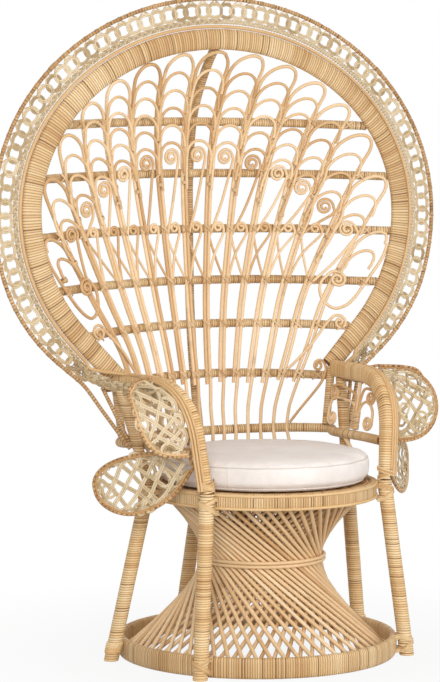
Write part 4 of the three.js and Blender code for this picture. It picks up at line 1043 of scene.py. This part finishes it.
ARM_SECTION = soft_box(ARM_THICKNESS - 2 * RIDGE, ARM_WIDTH - 2 * RIDGE, 20, 3.0)
ARM_UNDER = ARM_FRONT_Z - ARM_THICKNESS / 2 - 1.6
STILE_FOOT = np.array([FLARE_X - RAIL_BEND / 3, hoop_y(RAIL_Z), SCROLL_FOOT])
STILE_HEAD = np.array([STILE_X, hoop_y(HOOP_END_Z), HOOP_END_Z - FIT])


def under_arm(points, side):
    """From Y and Z to the leaning side under an arm."""
    y, z = np.asarray(points, float).T
    x = RAIL_TURN_X + (float(arm_x(SCROLL_Y, ARM_UNDER)) - RAIL_TURN_X) * (z - RAIL_Z) / (ARM_UNDER - RAIL_Z)
    return mirrored(columns(x, y, z), side)


def arm_scrolls(out, side):
    upright = np.linspace((SCROLL_Y, SCROLL_FOOT), (SCROLL_Y, ARM_UNDER), 20)
    out.rod(under_arm(upright, side), 4.0, 8)
    for way, middle in ((-1, -64.0), (1, 84.0)):
        root_y = SCROLL_Y + way * 6.0
        root = np.array([(root_y, SCROLL_FOOT + 2), (root_y, SCROLL_FOOT + 40)])
        high = joined(root, [(SCROLL_Y + way * 11, 580), (middle - way * 26, 599)],
                      spiral(middle, 580, 18.5, 4.4, -1.9 * way, 90, 52))
        low = joined(root + (way * 3.4, 0), [(SCROLL_Y + way * 18, 562), (middle - way * 8, 570),
                                             (middle + way * 14, 552)],
                     spiral(middle, 522, 17.5, 4.4, -1.7 * way, 0 if way > 0 else 180, 48))
        for points in (high, low):
            out.rod(under_arm(smooth(points, 4), side), 3.4, 8)
    for rise in (8, 22, 36):
        middle = under_arm([(SCROLL_Y, SCROLL_FOOT + rise)], side)[0]
        collar(out, middle, (0.2 * side, 0, 1), (1, 0, 0), 27, 13, 13, 3.0)
    brace = np.linspace((256, 23, RAIL_Z - 8), (257, -70, SEAT_TOP - 6), 14)
    out.rod(mirrored(brace, side), 4.8, 10)


for name, side in SIDES:
    out = Strands()
    out.wrapped(mirrored(ARM_LINE, side), ARM_SECTION, hint=(1, 0, 0),
                scale=arm_half(ARM_Z) * 2 / ARM_THICKNESS)
    crossed_lashing(out, mirrored(front_axis(SEAT_TOP + 16), side), (side * 0.3, -1.0, 0.0), UP,
                    LEG_RADIUS + 1, 12)
    out.make("arm_bound_" + name, PAINTED_LIGHT_WRAPPED, "arm_" + name)
    for post, radius, foot, head in (("arm_prop_", PROP_RADIUS, PROP_FOOT, PROP_HEAD),
                                     ("arm_stile_", STILE_RADIUS, STILE_FOOT, STILE_HEAD)):
        bound(post + "bound_" + name, post + name, mirrored(np.linspace(foot, head, 30), side),
              round_section(radius - RIDGE, 16), level=True)
    out = Strands()
    arm_scrolls(out, side)
    out.make("arm_scrolls_round_" + name, CANE, "arm_scrolls_" + name)

# Lace wings outside the arms and the front legs


def inside(points, border):
    """Whether each point lies inside a closed outline."""
    a, b = border, np.roll(border, -1, 0)
    x, z = points[:, :1], points[:, 1:]
    spans = (a[:, 1] > z) != (b[:, 1] > z)
    rise = np.where(b[:, 1] == a[:, 1], 1e-9, b[:, 1] - a[:, 1])
    cut = (b[:, 0] - a[:, 0]) * (z - a[:, 1]) / rise + a[:, 0]
    return (spans & (x < cut)).sum(1) % 2 == 1


def lattice_path(eye, border, u, w):
    """One strand that goes to and fro across the outline along u, a step further along w each time."""
    t = np.arange(-200, 200, 2.0)[:, None]
    ends = []
    for k in range(-7, 8):
        lean = u + w * rng.uniform(-0.22, 0.22)
        line = eye + w * ((k + 0.5) * LATTICE + rng.uniform(-5, 5)) + lean * t
        line = line[inside(line, border)]
        if len(line) > 8:
            ends.append((line[0], line[-1])[::-1 if len(ends) % 2 else 1])
    path = []
    for k, (first, last) in enumerate(ends):
        path += [first + (last - first) * share for share in (0.06, 0.5, 0.94)]
        if k + 1 < len(ends):
            path.append((last + ends[k + 1][0]) / 2 + u * (-9 if k % 2 else 9))
    return smooth(path, 4)


def wing(name, side, top, bottom, reach, climb, eye, start, degrees, rounding):
    """Rim and lace of a wing that stands out from the leg; climb lifts its lower edge toward the leg."""
    d = math.radians(degrees)
    across = np.array([math.cos(d), math.sin(d), 0.0])
    normal = mirrored(np.array([math.sin(d), -math.cos(d), 0.0]), side)
    middle, half = (top + bottom) / 2, (top - bottom) / 2

    def at(points, forward=0.0):
        points = np.asarray(points, float)
        base = np.stack([front_axis(z) + across * (start + o) for o, z in points])
        if degrees == 0:
            base[:, 1] = np.minimum(base[:, 1], -30 - 66 * np.clip(points[:, 0] / 80, 0, 1))
        return mirrored(base, side) + np.broadcast_to(forward, len(points))[:, None] * normal

    a = np.linspace(math.pi / 2, -math.pi / 2, 60)
    wide = reach * np.maximum(np.cos(a), 0) ** np.where(a < 0, rounding[1], rounding[0])
    lift = np.where(a < 0, climb * (1 - wide / reach) ** 2.5, 0)
    bow = columns(wide, middle + half * np.sin(a) + lift)
    eye = np.array([reach * eye, middle + climb / 16])

    def within(share):
        return eye + (bow - eye) * share

    out = Strands()
    rim = joined([(-16, top - 3)], bow)
    if climb:
        rim = joined(bow, smooth([bow[-1], (5, bow[-1, 1] + 42), (-6, bow[-1, 1] + 104)], 5)[1:])
    out.wrapped(resample(at(rim), 5), round_section(WING_ROD_RADIUS - 0.9, 10), 11.0, 0.4)
    out.rod(resample(at(within(0.94), 1.5), 5), 2.7, 8)
    out.make(f"{name}_rim_bent", RIM, f"{name}_rim")

    out = Strands()
    border = within(0.88)
    for sign, heading in ((-1, 38 + 10 * rng.random()), (1, 128 + 10 * rng.random())):
        u = np.array([math.cos(math.radians(heading)), math.sin(math.radians(heading))])
        w = np.array([-u[1], u[0]])
        line = lattice_path(eye, border, u, w)
        turn = math.pi * (line - eye) / LATTICE
        weave = np.cos(turn @ w - math.pi / 2) * np.cos(turn @ u - math.pi / 2)
        out.ribbon(at(line, 1.9 * weave * sign), 9.6, 2.0, hint=normal)
    for k in range(11):
        angle = 2 * math.pi * (k + rng.random()) / 11
        spread = np.array([0.6 * reach * math.cos(angle), half * math.sin(angle)])
        centre = eye + (0.45 + 0.4 * rng.random()) * spread
        ring = centre + rng.uniform(10, 17) * round_section(1, 32)
        if inside(centre[None], border)[0]:
            out.ribbon(at(ring, 2.6 * np.sin(3 * circle(32))), 6.4, 1.8, hint=normal, loop=True)
    if not climb:
        for k in range(3):
            height = top - 9 - 8 * k
            width = reach * (1 - ((height + 3 - middle) / half) ** 2) ** (rounding[0] / 2)
            o = np.linspace(-14, width - 5, 40)
            line = columns(o, height - 3 * np.sin(o / 17 + 2 * k))
            out.ribbon(at(line, 2.4 * np.cos(o / 12 + 2 * k)), 6.0, 1.8, hint=normal)
    edge = resample(within(0.9), 3)
    for phase in range(2):
        turn = 2 * math.pi * (lengths(edge) / 30 + phase / 2)
        shift = 4.0 * np.sin(turn)[:, None] * unit(edge - eye)
        out.ribbon(at(edge + shift, 1.4 * np.cos(turn)), 4.6, 1.7, hint=normal)
    out.make(f"{name}_lace_links", LACE, f"{name}_lace")


for name, side in SIDES:
    wing(f"upper_wing_{name}", side, **UPPER_WING)
    wing(f"lower_wing_{name}", side, **LOWER_WING)

# Loose cushion: a sewn round pad, filled by a short cloth run

cushion_low, cushion_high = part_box("cushion")
BOTTOM_Z = cushion_low.z / MM
SEAM_Z = BOTTOM_Z + CUSHION_SIDE
VOXEL, FILL_LIMIT, FILL_FRAMES = 0.006, 0.007, 20


def pad_outline():
    """Outline of the cover before filling: flat base, upright side and a low crown."""
    r = CUSHION_RADIUS - 5
    side = [(-r, 0.4), (-26, 0.4), (-8, 4), (0, 14), (1, 28), (0, CUSHION_SIDE - 4), (-6, CUSHION_SIDE + 2)]
    quarter = np.linspace(0.12, 1, 9) * math.pi / 2
    crown = [((r - 6) * math.cos(a), SEAM_Z + 2 + (CUSHION_CROWN - 9) * math.sin(a)) for a in quarter]
    return [(r + away, BOTTOM_Z + rise) for away, rise in side] + crown


def lathe(name, outline, count=96):
    """Turns an outline about the seat's axis; its first and last points lie on the axis."""
    rings = [ring_line(r, z, -SEAT_FORWARD, count) for r, z in outline[1:-1]]
    poles = [(0, -SEAT_FORWARD, outline[end][1]) for end in (0, -1)]
    last = (len(rings) - 1) * count
    faces = [(i + k, i + (k + 1) % count, i + count + (k + 1) % count, i + count + k)
             for i in range(0, last, count) for k in range(count)]
    for k in range(count):
        m = (k + 1) % count
        faces += [(last + count, m, k), (last + count + 1, last + k, last + m)]
    return new_piece(name, np.concatenate(rings + [poles]), faces)


def settle(piece):
    """Replaces the mesh with what the modifiers make of it."""
    graph = bpy.context.evaluated_depsgraph_get()
    made = bpy.data.meshes.new_from_object(piece.evaluated_get(graph))
    piece.modifiers.clear()
    piece.data = made


def modify(piece, kind, **settings):
    """Adds a modifier and sets its values; a cloth keeps them one level further down."""
    made = piece.modifiers.new(kind, kind)
    for key, value in settings.items():
        setattr(made.settings if kind == "CLOTH" else made, key, value)
    return made


def places(mesh):
    flat = np.empty(len(mesh.vertices) * 3)
    mesh.vertices.foreach_get("co", flat)
    return flat.reshape(-1, 3)


def fill(piece):
    """Blows the cover up a little; no point moves further than the limit."""
    start = places(piece.data)
    group = piece.vertex_groups.new(name="held")
    held = start[:, 2] < BOTTOM_Z * MM + 0.002
    group.add([int(k) for k in np.nonzero(held)[0]], 1.0, "REPLACE")
    soft = modify(piece, "CLOTH", vertex_group_mass="held", use_pressure=True, uniform_pressure_force=4.0,
                  tension_stiffness=18, compression_stiffness=18, bending_stiffness=0.4)
    soft.settings.effector_weights.gravity = 0.0
    soft.point_cache.frame_start = 1
    soft.point_cache.frame_end = FILL_FRAMES
    for number in range(1, FILL_FRAMES + 1):
        bpy.context.scene.frame_set(number)
    settle(piece)
    bpy.context.scene.frame_set(1)
    move = places(piece.data) - start
    size = np.linalg.norm(move, axis=1, keepdims=True)
    move *= np.minimum(1, FILL_LIMIT / np.maximum(size, 1e-9))
    piece.data.vertices.foreach_set("co", (start + move).reshape(-1))
    piece.data.update()


def worn(co):
    """Ripples round the side, a pinch along the seam and dimples in the crown, within the cushion's box."""
    x, y, z = co[:, 0], co[:, 1] + SEAT_FORWARD, co[:, 2]
    angle, radius = np.arctan2(x, -y), np.hypot(x, y)
    ripple = (0.9 * np.sin(5 * angle + 0.02 * z) + 0.7 * np.sin(9 * angle + 1.3)
              + 0.5 * np.sin(17 * angle + 0.6))
    side_share = np.exp(-((z - BOTTOM_Z - CUSHION_SIDE / 2) / 17) ** 2) * np.clip((radius - 200) / 30, 0, 1)
    pinch = np.exp(-((z - SEAM_Z) / 4.5) ** 2) * np.clip((radius - 200) / 20, 0, 1)
    grow = ripple * side_share - 1.8 * pinch
    crown = np.clip((z - SEAM_Z) / 8, 0, 1)
    dimple = 0.8 * np.sin(x / 58 + 1) * np.cos(y / 47) + 0.5 * np.sin(x / 23) * np.sin(y / 31)
    scale = np.minimum(radius + grow, CUSHION_RADIUS) / np.maximum(radius, 1)
    z = np.clip(z + dimple * crown, BOTTOM_Z + 0.2, cushion_high.z / MM - 0.3)
    return columns(x * scale, y * scale - SEAT_FORWARD, z)


pad = lathe("cushion_cover", pad_outline())
modify(pad, "REMESH", mode="VOXEL", voxel_size=VOXEL)
settle(pad)
fill(pad)
modify(pad, "SUBSURF", levels=1, render_levels=1)
settle(pad)
pad.data.vertices.foreach_set("co", (worn((places(pad.data) - SHIFT) / MM) * MM + SHIFT).reshape(-1))
pad.data.update()
pad.data.shade_smooth()
pad.data.materials.clear()
pad.data.materials.append(FABRIC)
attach(pad, "cushion")
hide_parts("cushion")

tree = BVHTree.FromObject(pad, bpy.context.evaluated_depsgraph_get())


def on_cover(degrees, z, out_by):
    """A point on the cushion's side, at an angle from the front toward +X."""
    heading = Vector(spoke(1, degrees, 0))
    middle = Vector((SHIFT[0], SHIFT[1] - SEAT_FORWARD * MM, z * MM))
    hit = tree.ray_cast(middle + heading * 0.4, -heading)[0]
    hit = hit if hit is not None else middle + heading * CUSHION_RADIUS * MM
    return (np.array(hit + heading * out_by * MM) - SHIFT) / MM


out = Strands()
for z in (SEAM_Z, BOTTOM_Z + 6):
    ring = np.array([on_cover(d, z, 0.2) for d in np.arange(0, 360, 1.5)])
    out.rod(ring, 1.5, 8, loop=True, tint=0.5)
for degrees in (-62.6, -51.8):
    line = np.array([on_cover(degrees, z, -0.2) for z in np.linspace(BOTTOM_Z + 8, SEAM_Z - 1, 14)])
    out.rod(line, 0.8, 6, tint=0.4)
out.make("cushion_seams", SEAM, body="cushion")

# Floor, light and camera

FLOOR_REACH, FLOOR_GREY, WORLD_LIGHT = 30, (0.6, 0.6, 0.6, 1), 0.52
corners = [(x * FLOOR_REACH, y * FLOOR_REACH, 0) for x, y in ((-1, -1), (1, -1), (1, 1), (-1, 1))]
floor_mesh = bpy.data.meshes.new("floor")
floor_mesh.from_pydata(corners, [], [(0, 1, 2, 3)])
floor = add("floor", floor_mesh)
pale = Shader(bpy.data.materials.new("pale_floor"))
pale.wire(pale.surface, {"Base Color": FLOOR_GREY, "Roughness": 0.9, "Specular IOR Level": 0.0})
distance = pale.node("ShaderNodeVectorMath", {0: pale.place()}, operation="LENGTH").outputs["Value"]
far = pale.node("ShaderNodeMapRange", {"Value": distance, "From Min": 0.4, "From Max": 1.0,
                                       "To Min": 0.9, "To Max": 1.0}).outputs[0]
white = pale.node("ShaderNodeEmission", {"Color": WHITE, "Strength": 1.0}).outputs[0]
blend = pale.node("ShaderNodeMixShader", {0: pale.math("MULTIPLY", pale.seen(), far),
                                          1: pale.surface.outputs[0], 2: white})
pale.wire(pale.tree.nodes["Material Output"], {"Surface": blend.outputs[0]})
floor_mesh.materials.append(pale.owner)

sky = Shader(bpy.data.worlds.new("studio"))
bpy.context.scene.world = sky.owner
sky.tree.nodes.clear()
falling, backdrop = (sky.node("ShaderNodeBackground", {"Color": WHITE, "Strength": strength}).outputs[0]
                     for strength in (WORLD_LIGHT, 1.0))
blend = sky.node("ShaderNodeMixShader", {0: sky.seen(), 1: falling, 2: backdrop})
sky.node("ShaderNodeOutputWorld", {0: blend.outputs[0]})


def aim(made, way):
    made.rotation_euler = way.to_track_quat("-Z", "Y").to_euler()


for name, place, target_z, size, power in (("key", (-2.6, -4.0, 2.1), 0.6, 2.2, 134),
                                           ("fill", (2.2, -4.2, 1.1), 0.5, 2.6, 70),
                                           ("above", (0.3, 0.6, 4.2), 0.6, 3.0, 22)):
    light = bpy.data.lights.new(name, "AREA")
    light.shape, light.size, light.energy = "DISK", size, power
    lamp = add(name, light)
    lamp.location = place
    aim(lamp, Vector((0, 0, target_z)) - Vector(place))

# The camera's place in metres and its lens in pixels were fitted to the photograph
CAMERA_TURN, CAMERA_DOWN = math.radians(-31), 0.079
CAMERA_AWAY, CAMERA_ASIDE, CAMERA_Z = 5.988, -0.0855, 1.194
FOCAL_PIXELS, PHOTO_HEIGHT, SENSOR = 2622, 682, 36
back_way = Vector((math.sin(CAMERA_TURN), -math.cos(CAMERA_TURN), 0))
right_way = Vector((math.cos(CAMERA_TURN), math.sin(CAMERA_TURN), 0))
lens = bpy.data.cameras.new("camera")
lens.sensor_width = SENSOR
lens.lens = FOCAL_PIXELS / PHOTO_HEIGHT * SENSOR
lens.clip_end = 100
camera = add("camera", lens)
camera.location = back_way * CAMERA_AWAY + right_way * CAMERA_ASIDE + Vector((SHIFT[0], SHIFT[1], CAMERA_Z))
aim(camera, -back_way * math.cos(CAMERA_DOWN) - Vector((0, 0, math.sin(CAMERA_DOWN))))
bpy.context.scene.camera = camera
bpy.context.scene.view_settings.view_transform = "Standard"
